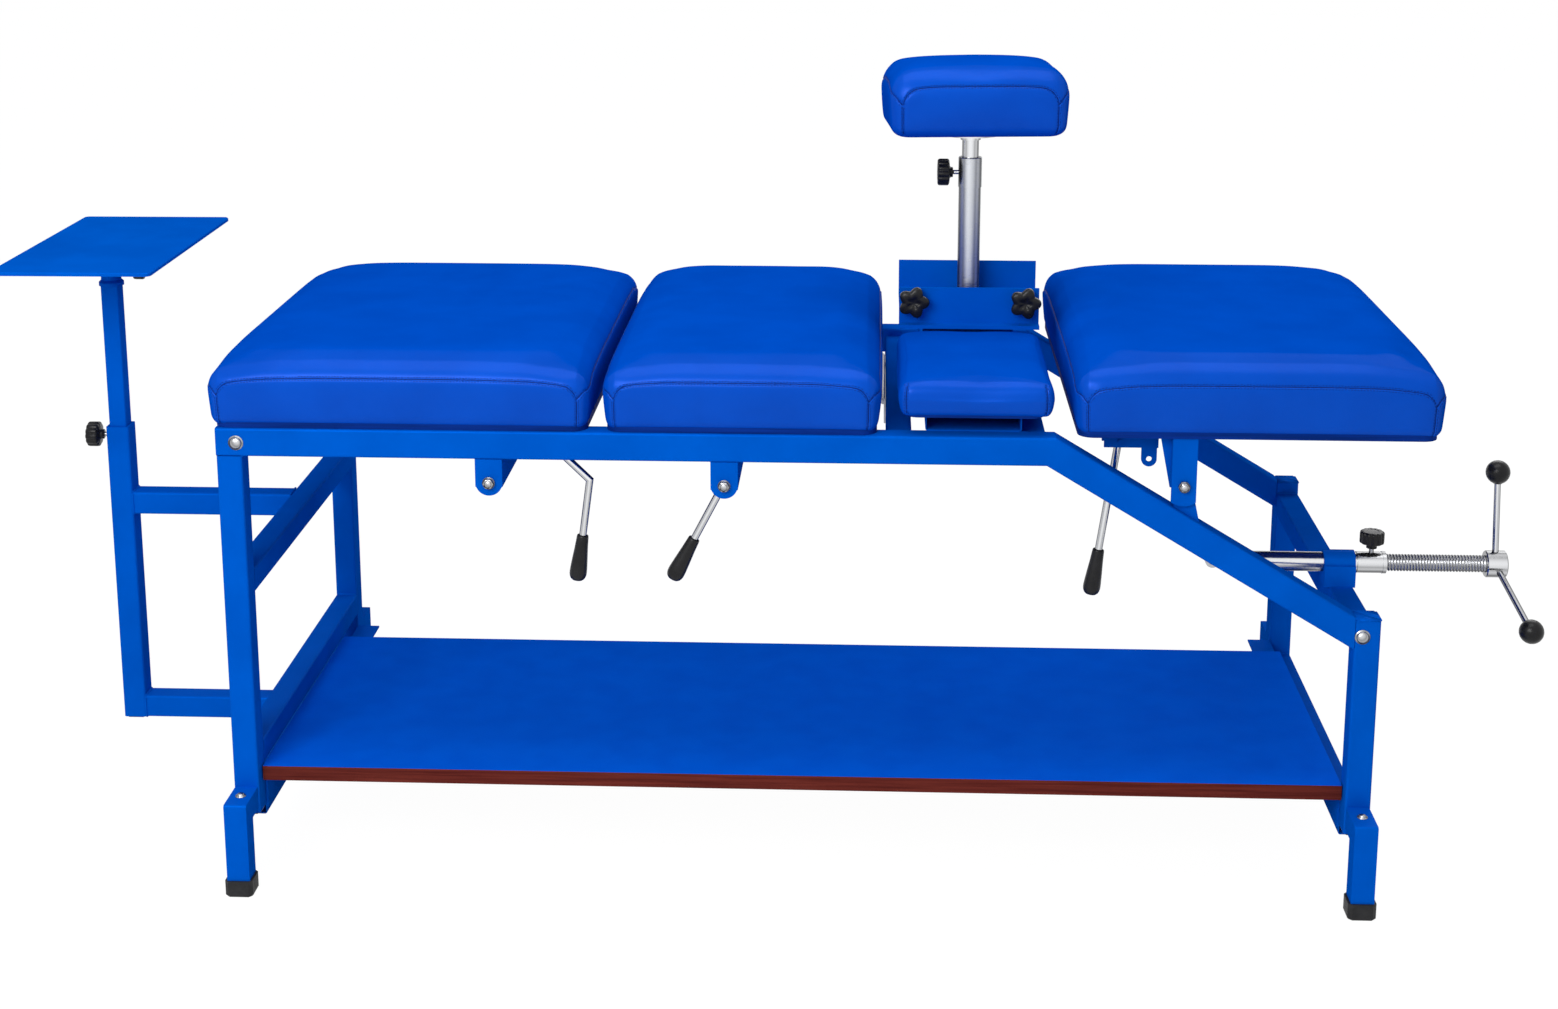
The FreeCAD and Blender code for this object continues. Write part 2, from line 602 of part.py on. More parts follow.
def lever(name, x, y, z, path, grip, eye, bore, thick):
    """path holds (x, z) steps of the rod's middle line from the eye; the last piece carries the grip."""
    item = body("lever_" + name, x, "%s + %s / 2" % (y, thick), z, ELEVATION)
    s = sketch(item)
    circle(s, 0, 0, eye)
    pad(item, s, thick)
    spine = sketch(item, "XY", "%s / 2" % thick)
    at = [V(*p, 0) for p in path]
    for a, b in zip(at, at[1:]):
        spine.addGeometry(Part.LineSegment(a, b), False)
    for i in range(len(at) - 2):
        spine.addConstraint(Sketcher.Constraint("Coincident", i, 2, i + 1, 1))
    for i, p in enumerate(path[:-1]):
        pin_down(spine, i, 1, "%s" % p[0] if p[0] >= 0 else "0 - %s" % -p[0],
                 "%s" % p[1] if p[1] >= 0 else "0 - %s" % -p[1])
    p = path[-1]
    pin_down(spine, len(path) - 2, 2, "%s" % p[0] if p[0] >= 0 else "0 - %s" % -p[0],
             "%s" % p[1] if p[1] >= 0 else "0 - %s" % -p[1])
    doc.recompute()
    ring = doc.addObject("Sketcher::SketchObject", item.Label + "_ring")
    item.addObject(ring)
    ring.AttachmentSupport = [(spine, "Edge1")]
    ring.MapMode = "NormalToEdge"
    circle(ring, 0, 0, "arm_radius")
    pipe = doc.addObject("PartDesign::AdditivePipe", item.Label + "_pipe")
    item.addObject(pipe)
    pipe.Profile = ring
    pipe.Spine = (spine, ["Edge%d" % (i + 1) for i in range(len(path) - 1)])
    pipe.Transition = 1
    item.Tip = pipe
    ring.Visibility = spine.Visibility = False
    s = sketch(item)
    circle(s, 0, 0, bore)
    cut(item, s, thick, Reversed=True)

    # the grip sits over the last stretch of the rod
    a, b = path[-2], path[-1]
    angle = math.degrees(math.atan2(b[0] - a[0], b[1] - a[1]))
    hold = body("grip_" + name, "%s + (%s)" % (x, b[0]), y, "%s + (%s)" % (z, b[1]),
                FreeCAD.Rotation(V(0, 1, 0), angle))
    revolve(hold, [("0", grip), ("0", "0.3"), ("arm_radius + 0.1", "0.3"), ("arm_radius + 0.1", "0 - 40"),
                   ("9", "0 - 40"), ("13.8", grip + " - 5"), ("9.5", grip)])


lever("foot", "516", "60", "712", [(0, 0), (57, -56), (39, -186)], "36", "11", "5.1", "14")
lever("seat", "bracket_right_x", "22", "bracket_axis_high", [(0, 0), (-66.5, -128)], "36", "13", "shaft_radius", "14")
lever("head", PIVOT_X + " - 92", "90", LEVER_PIN_Z, [(0, 0), (-32, -222)], "36", "9", "4.1", "14")

foot_lug = body("lever_lug_foot", "516", "tube", "712", ALONG_Y)
s = sketch(foot_lug)
rectangle(s, "0 - 20", "0 - 26", "20", "14")
pad(foot_lug, s, "4")
s = sketch(foot_lug)
circle(s, 0, 0, "5")
pad(foot_lug, s, "36")

# Tray stand: a telescopic mast carried by two arms from the foot end

MAST_Y = "mast_front + tube / 2"
box_tube("mast_outer", "mast_left", "mast_front", "mast_low", UP, "tube", "tube", "mast_top - mast_low", "mast_wall")
s = sketch(made["mast_outer"], "YZ", "0 - 1")
circle(s, "tube / 2", "mast_top - mast_knob_down - mast_low", "stud_hole")
cut(made["mast_outer"], s, "mast_wall + 2", Reversed=True)
for name, top in (("upper", "cross_upper_top"), ("lower", "cross_base_top")):
    box_tube("arm_" + name, "mast_left + tube", "mast_front", top + " - tube", ALONG_X, "tube", "tube",
             "0 - mast_left - tube")
box_tube("mast_inner", "mast_left + (tube - inner_tube) / 2", "mast_front + (tube - inner_tube) / 2", INNER_LOW,
         UP, "inner_tube", "inner_tube", "inner_in + inner_out", "wall", "2.5")

socket = body("tray_socket", "mast_left + tube / 2", MAST_Y, INNER_TOP)
revolve(socket, [("0", "0"), ("21", "0"), ("21", "6"), ("17", "10"), ("17", "50"), ("11.3", "50"), ("11.3", "8"),
                 ("0", "8")])
s = sketch(socket, "YZ", "5")
circle(s, "0", "tray_knob_up", "stud_hole")
cut(socket, s, "20", Reversed=True)
neck = body("tray_neck", "mast_left + tube / 2", MAST_Y, INNER_TOP)
revolve(neck, [("0", "9"), ("11", "9"), ("11", "51"), ("24", "51"), ("45", "tray_up - 4"), ("45", "tray_up"),
               ("0", "tray_up")])

plate = body("tray_plate", "mast_left + tube / 2 + tray_right", MAST_Y + " - tray_near", INNER_TOP + " + tray_up",
             FreeCAD.Rotation(V(0, 0, 1), 1))
s = sketch(plate)
rectangle(s, "0 - tray_wide / 2", "0 - tray_deep / 2", "tray_wide / 2", "tray_deep / 2")
pad(plate, s, "tray_thick")
soften(plate, 10, lambda e: runs_along(e, V(0, 0, 1)))
soften(plate, 1.5, lambda e: e.BoundBox.ZMin > NUMBER["tray_thick"] - 0.01, "Chamfer")


def hand_knob(label, x, y, z, turn, stud, neck_high, radius, high, lobes=12, bite=2.2):
    """A clamping knob: steel stud, short neck and a fluted head whose local z points outwards."""
    item = body(label, x, y, z, turn)
    neck_top = "%s + %s" % (stud, neck_high)
    revolve(item, [("0", "0"), ("4", "0"), ("4", stud), ("8", stud), ("8", neck_top), ("0", neck_top)])
    s = sketch(item, "XY", neck_top)
    reach = ["%s - %s" % (radius, bite if i % 2 else 0) for i in range(2 * lobes)]
    polygon(s, [("(%s) * cos(%g)" % (far, i * 180 / lobes), "(%s) * sin(%g)" % (far, i * 180 / lobes))
                for i, far in enumerate(reach)])
    pad(item, s, high)
    top = number("%s + %s" % (neck_top, high))
    soften(item, 1.5, lambda e: e.BoundBox.ZMin > top - 0.01, "Chamfer")
    return item


def star_knob(label, x, y, z, turn, stud):
    """A five-lobed clamping knob."""
    item = body(label, x, y, z, turn)
    revolve(item, [("0", "0"), ("4", "0"), ("4", stud), ("9", stud), ("9", "%s + 10" % stud), ("0", "%s + 10" % stud)])
    s = sketch(item, "XY", "%s + 10" % stud)
    points = []
    for lobe in range(5):
        for turn_by, far in ((-36, 14.5), (-14, 21.5), (0, 23), (14, 21.5)):
            points.append(("%g * cos(%d)" % (far, 72 * lobe + turn_by), "%g * sin(%d)" % (far, 72 * lobe + turn_by)))
    polygon(s, points)
    pad(item, s, "12")
    top = number("%s + 22" % stud)
    soften(item, 1.5, lambda e: e.BoundBox.ZMin > top - 0.01, "Chamfer")


hand_knob("mast_knob", "mast_left + mast_wall - 0.3", MAST_Y, "mast_top - mast_knob_down", TO_LEFT, "14", "6", "19", "22")
hand_knob("tray_knob", "mast_left + tube / 2 + 11.4", MAST_Y, INNER_TOP + " + tray_knob_up", ALONG_X, "22", "6", "16", "20")

# Bolster: a clamp channel on a column behind the small pad, a chrome post and the pad on top

column = box_tube("column", "post_x - 75", "372", "small_pad_low", UP, "150", "68", "post_foot - 6 - small_pad_low")
channel = body("clamp_channel", "post_x - 116", "0", "0", ALONG_X)
s = sketch(channel)
polygon(s, [("358", "post_foot - 6"), ("358", "small_pad_top + 2"), ("332", "small_pad_top + 2"),
            ("332", "small_pad_top + 8"), ("353", "small_pad_top + 8"), ("353", "905"), ("359", "905"),
            ("359", "post_foot"), ("450", "post_foot"), ("450", "931"), ("456", "931"), ("456", "post_foot - 6")])
pad(channel, s, "232")
base = body("post_base", "post_x", "post_y", "post_foot")
s = sketch(base)
rectangle(s, "0 - 32", "0 - 38", "32", "32")
pad(base, s, "8")
soften(base, 5, lambda e: runs_along(e, V(0, 0, 1)))
outer = body("post_outer", "post_x", "post_y", "post_foot + 8")
revolve(outer, [("post_bore", "0"), ("post_radius", "0"), ("post_radius", "post_top - 50 - post_foot - 8"),
                ("post_radius + 1", "post_top - 50 - post_foot - 8"), ("post_radius + 1", "post_top - post_foot - 9"),
                ("post_radius", "post_top - post_foot - 8"), ("post_bore", "post_top - post_foot - 8")])
s = sketch(outer, "YZ", "0 - 8")
circle(s, "0", "post_knob_high - post_foot - 8", "stud_hole")
cut(outer, s, "20")
rise = body("post_inner", "post_x", "post_y", "post_foot + post_clear")
revolve(rise, [("post_inner - 2", "0"), ("post_inner", "0"), ("post_inner", "bolster_low - 14 - post_foot - post_clear"),
               ("post_inner - 2", "bolster_low - 14 - post_foot - post_clear")])
turntable = body("bolster_flange", "post_x", "post_y", "bolster_low")
revolve(turntable, [("0", "0 - 13.7"), ("post_inner + 3", "0 - 13.7"), ("post_inner + 3", "0 - 5"), ("50", "0 - 5"),
                    ("50", "0"), ("0", "0")])
spigot = sketch(turntable, "XY", "0 - 13.7")
circle(spigot, 0, 0, "post_inner - 2.3")
pad(turntable, spigot, "30", Reversed=True)
bolster = body("bolster", "post_x", "post_y", "bolster_low", FreeCAD.Rotation(V(0, 0, 1), 5))
s = sketch(bolster)
rectangle(s, "0 - bolster_wide / 2", "0 - bolster_deep / 2", "bolster_wide / 2", "bolster_deep / 2")
pad(bolster, s, "bolster_high")
soften(bolster, "pad_corner", lambda e: runs_along(e, V(0, 0, 1)))
soften(bolster, "bolster_bevel", lambda e: e.BoundBox.ZMin > NUMBER["bolster_high"] - 0.01, "Chamfer")
soften(bolster, 10, lambda e: e.BoundBox.ZMax < 0.01, "Chamfer")
hand_knob("post_knob", "post_x - post_bore", "post_y", "post_knob_high", TO_LEFT, "14", "5", "20", "20")
FORWARD = FreeCAD.Rotation(V(1, 0, 0), V(0, 0, 1), V(0, -1, 0), "ZXY")
for side, x in (("left", "post_x - 92"), ("right", "post_x + 92")):
    star_knob("star_knob_" + side, x, "352.7", "884", FORWARD, "5")

# Traction screw: guide tube in a saddle and strap, nut, threaded rod, handle and draw rod

saddle = body("screw_saddle", "frame_long - tube - 8", "screw_y", "head_cross_top", ALONG_X)
s = sketch(saddle)
rectangle(s, "0 - 24", "0", "24", "screw_high - head_cross_top - 4")
pad(saddle, s, "50")
s = sketch(saddle)
circle(s, 0, "screw_high - head_cross_top", "guide_radius + 0.1")
cut(saddle, s, "50", Reversed=True)
strap = body("screw_strap", "frame_long - tube - 8", "screw_y", "screw_high", ALONG_X)
s = sketch(strap)
circle(s, 0, 0, "guide_radius + 4")
pad(strap, s, "50")
s = sketch(strap)
rectangle(s, "0 - 24", "0 - 4", "24", "0")
pad(strap, s, "50")
s = sketch(strap)
circle(s, 0, 0, "guide_radius + 0.1")
cut(strap, s, "50", Reversed=True)
s = sketch(strap)
rectangle(s, "0 - 40", "0 - 40", "40", "0 - 4")
cut(strap, s, "50", Reversed=True)

guide = body("screw_guide", "0", "screw_y", "screw_high", ALONG_X)
revolve(guide, [("guide_bore", GUIDE_LEFT), ("guide_radius", GUIDE_LEFT), ("guide_radius", GUIDE_RIGHT),
                ("guide_bore", GUIDE_RIGHT)])
nut = body("screw_nut", "0", "screw_y", "screw_high", ALONG_X)
revolve(nut, [("guide_bore", GUIDE_RIGHT), ("guide_radius + 1.5", GUIDE_RIGHT),
              ("guide_radius + 1.5", NUT_RIGHT + " - 6"), ("guide_radius + 2.2", NUT_RIGHT + " - 6"),
              ("guide_radius + 2.2", NUT_RIGHT), ("guide_bore", NUT_RIGHT)])
s = sketch(nut, "XZ", "0 - 8")
circle(s, "0", GUIDE_RIGHT + " + screw_knob_along", "stud_hole")
cut(nut, s, "20")
hand_knob("screw_knob", GUIDE_RIGHT + " + screw_knob_along", "screw_y", "screw_high + guide_bore", UP,
          "10", "7", "18", "22", 12, 2.0)
rod = body("screw_rod", "0", "screw_y", "screw_high", ALONG_X)
revolve(rod, [("0", SCREW_LEFT), ("screw_radius", SCREW_LEFT), ("screw_radius", SCREW_RIGHT), ("0", SCREW_RIGHT)])
hub = body("screw_hub", SCREW_RIGHT, "screw_y", "screw_high", ALONG_X)
revolve(hub, [("0", "0"), ("hub_radius - 1.5", "0"), ("hub_radius", "1.5"), ("hub_radius", "hub_long - 1.5"),
              ("hub_radius - 1.5", "hub_long"), ("0", "hub_long")])
for label, angle, tilt in (("up", 0, -2), ("side", 114, 9)):
    lean = FreeCAD.Rotation(V(1, 0, 0), angle) * FreeCAD.Rotation(V(0, 1, 0), tilt)
    middle = SCREW_RIGHT + " + hub_long / 2"
    arm = body("handle_arm_" + label, middle, "screw_y", "screw_high", lean)
    revolve(arm, [("0", "hub_radius - 1"), ("handle_radius", "hub_radius - 1"), ("handle_radius", "arm_reach - 8"),
                  ("0", "arm_reach - 8")])
    ball = body("handle_ball_" + label, middle, "screw_y", "screw_high", lean)
    revolve(ball, [("ball_radius * sin(%g)" % a, "arm_reach - ball_radius * cos(%g)" % a)
                   for a in range(0, 181, 18)])
    spin_cut(ball, [("0", "arm_reach - ball_radius - 2"), ("handle_radius", "arm_reach - ball_radius - 2"),
                    ("handle_radius", "arm_reach - 8"), ("0", "arm_reach - 8")])

draw = body("draw_rod", "0", "screw_y", "screw_high", ALONG_X)
revolve(draw, [(far, EYE_X + " + " + along) for far, along in
               (("0", "117"), ("13.5", "117"), ("13.5", "97"), ("6", "97"),
                ("6", "eye_radius - 1"), ("0", "eye_radius - 1"))])
s = sketch(draw, "YZ")
circle(s, "0", EYE_X, "eye_radius")
pad(draw, s, "10", Midplane=True)
s = sketch(draw, "YZ")
circle(s, "0", EYE_X, "eye_bore")
through(draw, s)

# Welded and pressed-together groups leave the bench as one piece each


def weld(label, members):
    group = doc.addObject("Part::Compound", label)
    group.Label = label
    group.Links = [made[name] for name in members]
    for name in members:
        nodes.remove(name)
    nodes.append(label)
    made[label] = group


for side in ("front", "back"):
    weld("side_frame_" + side, [part + side for part in
                                ("rail_", "slope_", "leg_foot_", "leg_head_", "stand_foot_", "stand_head_",
                                 "head_ear_")] + (["lever_lug_foot"] if side == "front" else []))
weld("foot_end_tubes", ["cross_foot_upper", "cross_foot_guard", "cross_foot_base", "cross_hinge_foot", "ledge_foot"])
weld("head_end_tubes", ["cross_head_base", "cross_head_top", "ledge_head", "screw_saddle"])
weld("middle_tubes", ["cross_hinge_seat", "cross_kink"])
for name in ("foot", "seat"):
    weld("stay_bracket_" + name, ["bracket_" + name, "shaft_" + name])
    weld("stay_clevis_" + name, ["clevis_" + name, "stay_pin_" + name])
    weld("strip_hinge_" + name, ["hinge_%s_fixed" % name, "hinge_%s_pin" % name])
weld("head_pad_frame", ["head_leg_front", "head_leg_back", "head_cross", "head_block", "lever_pin_head"])
weld("head_pad_bolts", ["head_bolt_front", "head_bolt_back"])
weld("tray_stand", ["mast_outer", "arm_upper", "arm_lower"])
weld("tray_mast", ["mast_inner", "tray_socket"])
weld("bolster_support", ["column", "clamp_channel"])
weld("bolster_post_outer", ["post_base", "post_outer"])
weld("bolster_post_inner", ["post_inner", "bolster_flange"])
weld("screw_sleeve", ["screw_guide", "screw_nut"])
weld("screw_handle", ["screw_hub", "handle_arm_up", "handle_arm_side"])
weld("handle_balls", ["handle_ball_up", "handle_ball_side"])

doc.recompute()
faults = 0
for name in nodes:
    item = made[name]
    shape = item.Shape
    bad = [f.Name for f in [item] + item.OutList if "Invalid" in f.State or "Error" in f.State]
    if bad or shape.isNull() or not shape.isValid() or shape.Volume <= 0:
        faults += 1
        print("fault in", name, bad)
if faults:
    raise SystemExit("%d sub-parts are faulty" % faults)
for name in nodes:
    made[name].Shape.exportStep("parts/%s.step" % name)
print(len(nodes), "sub-parts written")
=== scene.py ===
import math

import bmesh
import bpy
from mathutils import Matrix, Vector
from mathutils.bvhtree import BVHTree


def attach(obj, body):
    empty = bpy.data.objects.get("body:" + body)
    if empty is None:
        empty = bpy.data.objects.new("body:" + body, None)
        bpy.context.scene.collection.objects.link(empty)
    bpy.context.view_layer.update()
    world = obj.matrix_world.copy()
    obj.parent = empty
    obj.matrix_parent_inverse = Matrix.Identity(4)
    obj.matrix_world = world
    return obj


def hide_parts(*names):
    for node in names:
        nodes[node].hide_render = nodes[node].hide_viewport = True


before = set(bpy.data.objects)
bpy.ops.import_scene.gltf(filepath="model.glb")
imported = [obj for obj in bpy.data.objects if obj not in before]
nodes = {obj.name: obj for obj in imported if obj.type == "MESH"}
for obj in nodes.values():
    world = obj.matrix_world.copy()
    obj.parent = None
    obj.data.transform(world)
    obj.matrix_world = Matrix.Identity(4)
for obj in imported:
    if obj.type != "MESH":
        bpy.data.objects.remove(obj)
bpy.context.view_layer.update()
scene = bpy.context.scene

# The design was drawn in millimetres from the frame's left front corner on the floor.
CENTRE = (826.1, 375.0)
TAU = 2 * math.pi


def at(x, y, z):
    return Vector(((x - CENTRE[0]) / 1000, (y - CENTRE[1]) / 1000, z / 1000))


# ---- camera

# fitted to some forty points and edges of the photograph
YAW, PITCH = 0.04357396, 0.21588032
EYE = (1017.81, -3333.29, 1714.65)
FOCAL_LENGTH, SENSOR_WIDTH, SHIFT = 52.43, 36, -0.1402
forward = Vector((-math.sin(YAW) * math.cos(PITCH), math.cos(YAW) * math.cos(PITCH), -math.sin(PITCH)))
right = Vector((math.cos(YAW), math.sin(YAW), 0))
upward = right.cross(forward)
lens = bpy.data.cameras.new("camera")
camera = bpy.data.objects.new("camera", lens)
scene.collection.objects.link(camera)
lens.sensor_width = SENSOR_WIDTH
lens.lens = FOCAL_LENGTH
lens.shift_y = SHIFT
turn = Matrix((right, upward, -forward)).transposed().to_4x4()
camera.matrix_world = Matrix.Translation(at(*EYE)) @ turn
scene.camera = camera


# ---- materials


def linear(r, g, b):
    def channel(c):
        c /= 255
        return c / 12.92 if c <= 0.04045 else ((c + 0.055) / 1.055) ** 2.4
    return (channel(r), channel(g), channel(b), 1)


class Paint:
    """A procedural material being put together around one Principled shader."""

    def __init__(self, name, colour, rough, metal=0.0, **sockets):
        self.material = bpy.data.materials.new(name)
        self.material.use_nodes = True
        self.tree = self.material.node_tree
        self.shader = self.tree.nodes["Principled BSDF"]
        self.shader.inputs["Base Color"].default_value = colour
        self.shader.inputs["Roughness"].default_value = rough
        self.shader.inputs["Metallic"].default_value = metal
        for key, value in sockets.items():
            self.shader.inputs[key.replace("_", " ")].default_value = value
        self.where = self.add("ShaderNodeTexCoord").outputs["Object"]
        self.height = None

    def add(self, kind, **settings):
        node = self.tree.nodes.new(kind)
        for key, value in settings.items():
            setattr(node, key, value)
        return node

    def link(self, source, target):
        self.tree.links.new(source, target)

    def stretched(self, scale):
        mapping = self.add("ShaderNodeMapping")
        mapping.inputs["Scale"].default_value = scale
        self.link(self.where, mapping.inputs["Vector"])
        return mapping.outputs["Vector"]

    def noise(self, scale, detail=3.0, rough=0.5, stretch=(1, 1, 1)):
        node = self.add("ShaderNodeTexNoise")
        node.inputs["Scale"].default_value = scale
        node.inputs["Detail"].default_value = detail
        node.inputs["Roughness"].default_value = rough
        self.link(self.stretched(stretch), node.inputs["Vector"])
        return node.outputs["Fac"]

    def cells(self, scale, feature="F1"):
        node = self.add("ShaderNodeTexVoronoi", feature=feature)
        node.inputs["Scale"].default_value = scale
        self.link(self.where, node.inputs["Vector"])
        return node.outputs["Distance"]

    def ramp(self, source, stops):
        node = self.add("ShaderNodeValToRGB")
        ramp = node.color_ramp
        while len(ramp.elements) < len(stops):
            ramp.elements.new(0.5)
        for element, (place, colour) in zip(ramp.elements, stops):
            element.position = place
            element.color = colour
        self.link(source, node.inputs["Fac"])
        return node.outputs["Color"]

    def tint(self, source, dark, light, low=0.35, high=0.65):
        self.link(self.ramp(source, [(low, dark), (high, light)]), self.shader.inputs["Base Color"])

    def rough(self, source, low, high):
        node = self.add("ShaderNodeMapRange")
        node.inputs["From Min"].default_value = 0.3
        node.inputs["From Max"].default_value = 0.7
        node.inputs["To Min"].default_value = low
        node.inputs["To Max"].default_value = high
        self.link(source, node.inputs["Value"])
        self.link(node.outputs["Result"], self.shader.inputs["Roughness"])

    def sheen(self, metal, coat=0.0, low=0.4, high=0.7):
        """A lustre on what faces the eye that fades where the surface is seen at a slant."""
        weight = self.add("ShaderNodeLayerWeight")
        weight.inputs["Blend"].default_value = 0.5
        for socket, amount in (("Metallic", metal), ("Coat Weight", coat)):
            if amount:
                node = self.add("ShaderNodeMapRange")
                node.inputs["From Min"].default_value = low
                node.inputs["From Max"].default_value = high
                node.inputs["To Min"].default_value = amount
                node.inputs["To Max"].default_value = 0.0
                self.link(weight.outputs["Facing"], node.inputs["Value"])
                self.link(node.outputs["Result"], self.shader.inputs[socket])

    def bump(self, source, distance, strength=1.0):
        node = self.add("ShaderNodeBump")
        node.inputs["Strength"].default_value = strength
        node.inputs["Distance"].default_value = distance
        self.link(source, node.inputs["Height"])
        if self.height is not None:
            self.link(self.height, node.inputs["Normal"])
        self.height = node.outputs["Normal"]
        self.link(self.height, self.shader.inputs["Normal"])


def powder_coat():
    p = Paint("frame_blue", linear(0, 84, 190), 0.36, 0.12, Specular_IOR_Level=0.0)
    p.tint(p.noise(9, 4), linear(0, 81, 185), linear(0, 87, 195))
    p.sheen(0.12)
    p.rough(p.noise(14, 5), 0.3, 0.42)
    p.bump(p.noise(520, 2), 0.00012, 0.6)
    p.bump(p.noise(60, 3), 0.0003, 0.2)
    return p.material


def vinyl():
    p = Paint("vinyl_blue", linear(0, 72, 184), 0.34, 0.14, Specular_IOR_Level=0.0)
    p.tint(p.noise(11, 5), linear(0, 70, 180), linear(0, 74, 187))
    p.shader.inputs["Coat Roughness"].default_value = 0.3
    p.sheen(0.14, 0.13, 0.3, 0.6)
    p.rough(p.noise(30, 4), 0.3, 0.4)
    p.bump(p.cells(820), 0.00022, 0.5)
    p.bump(p.noise(420, 3), 0.0001, 0.5)
    p.bump(p.noise(26, 3, 0.55, (1, 1, 1)), 0.0016, 0.2)
    return p.material


def thread():
    # The dark blue is the stitches' own thread colour, and also painted shade in the seam cord, which stands for the
    # shadow in each seam's crease.
    p = Paint("stitch_and_seam_shade_blue", linear(0, 34, 112), 0.6, Specular_IOR_Level=0.1)
    p.tint(p.noise(900, 2), linear(0, 26, 92), linear(0, 44, 132))
    p.bump(p.noise(2500, 2), 0.0001, 0.8)
    return p.material


def plated_with_painted_reflection(name, colour, rough, streak):
    p = Paint(name, colour, rough, 1.0)
    # The base colour is painted by how squarely the surface faces the eye: a painted reflection, brightest where the
    # surface faces the eye, in bands of lighter and darker grey, with painted shade darkest part way to the outline.
    edge = p.add("ShaderNodeLayerWeight")
    edge.inputs["Blend"].default_value = 0.35
    dark, soft, pale = (tuple(c * k for c in colour[:3]) + (1,) for k in (0.14, 0.46, 0.66))
    stops = [(0.01, colour), (0.1, soft), (0.2, pale), (0.4, dark), (0.95, soft)]
    p.link(p.ramp(edge.outputs["Facing"], stops), p.shader.inputs["Base Color"])
    p.rough(p.noise(90, 5, 0.6, streak), max(rough - 0.05, 0.03), rough + 0.1)
    p.bump(p.noise(260, 4, 0.6, streak), 0.00006, 0.5)
    return p.material


def moulded(name, colour, rough, grain=0.00012):
    p = Paint(name, colour, rough, Specular_IOR_Level=0.22)
    p.tint(p.noise(60, 4), tuple(c * 0.75 for c in colour[:3]) + (1,), tuple(c * 1.3 for c in colour[:3]) + (1,))
    p.rough(p.noise(40, 4), rough - 0.06, rough + 0.1)
    p.bump(p.noise(700, 3), grain, 0.6)
    return p.material


def shelf_board():
    p = Paint("shelf_blue", linear(0, 90, 214), 0.42, 0.05, Specular_IOR_Level=0.0)
    p.sheen(0.05)
    normal = p.add("ShaderNodeNewGeometry").outputs["Normal"]
    split = p.add("ShaderNodeSeparateXYZ")
    p.link(normal, split.inputs["Vector"])
    top = p.ramp(split.outputs["Z"], [(0.4, (0, 0, 0, 1)), (0.5, (1, 1, 1, 1))])
    blue = p.ramp(p.noise(16, 5), [(0.35, linear(0, 88, 212)), (0.65, linear(0, 93, 218))])
    brown = p.ramp(p.noise(40, 5, 0.6, (0.15, 1, 6)), [(0.3, linear(76, 28, 25)), (0.7, linear(112, 48, 40))])
    mix = p.add("ShaderNodeMix", data_type="RGBA")
    p.link(top, mix.inputs[0])
    p.link(brown, mix.inputs[6])
    p.link(blue, mix.inputs[7])
    p.link(mix.outputs[2], p.shader.inputs["Base Color"])
    p.rough(p.noise(18, 4), 0.34, 0.5)
    p.bump(p.noise(300, 3), 0.0002, 0.5)
    return p.material


def plywood():
    p = Paint("board", linear(2, 40, 120), 0.7, Specular_IOR_Level=0.05)
    p.tint(p.noise(30, 6, 0.65, (0.12, 1.5, 4)), linear(0, 34, 104), linear(4, 48, 140))
    p.bump(p.noise(120, 5, 0.6, (0.1, 1.5, 1)), 0.0005, 0.5)
    return p.material


BLUE = powder_coat()
VINYL = vinyl()
STITCH_AND_SEAM_SHADE = thread()
CHROME = plated_with_painted_reflection("chrome", (0.86, 0.87, 0.89, 1), 0.1, (1, 1, 1))
STEEL = plated_with_painted_reflection("steel", (0.62, 0.63, 0.65, 1), 0.28, (1, 8, 1))
BRUSHED = plated_with_painted_reflection("brushed", (0.66, 0.68, 0.71, 1), 0.3, (0.6, 0.6, 14))
SLEEVE = plated_with_painted_reflection("sleeve", (0.82, 0.83, 0.85, 1), 0.16, (10, 1, 1))
BLACK = moulded("black_plastic", (0.008, 0.008, 0.009, 1), 0.28)
GRIP = moulded("grip_black", (0.009, 0.009, 0.01, 1), 0.34, 0.0003)
RUBBER = moulded("rubber", (0.018, 0.018, 0.019, 1), 0.6, 0.0006)
SHELF = shelf_board()
WOOD = plywood()

FINISH = {
    BLUE: ["side_frame_front", "side_frame_back", "foot_end_tubes", "head_end_tubes", "middle_tubes",
           "stay_bracket_foot", "stay_bracket_seat", "stay_clevis_foot", "stay_clevis_seat", "head_pad_frame",
           "tray_stand", "tray_mast", "tray_neck", "tray_plate", "base_small", "bolster_support", "screw_strap"],
    SHELF: ["shelf"],
    WOOD: ["board_foot", "board_seat", "board_small", "board_head"],
    CHROME: ["lever_foot", "lever_seat", "lever_head", "bolster_post_inner", "screw_handle"],
    BRUSHED: ["bolster_post_outer"],
    SLEEVE: ["screw_sleeve"],
    STEEL: ["strip_hinge_foot", "strip_hinge_seat", "hinge_foot_board", "hinge_seat_board", "head_pad_bolts",
            "stay_tube_foot", "stay_tube_seat", "stay_rod_foot", "stay_rod_seat", "draw_rod"],
    RUBBER: ["rubber_foot_front", "rubber_foot_back", "rubber_head_front", "rubber_head_back"],
}
for material, names in FINISH.items():
    for name in names:
        mesh = nodes[name].data
        if not mesh.materials:
            mesh.materials.append(material)
        for i in range(len(mesh.materials)):
            mesh.materials[i] = material


# ---- mesh helpers


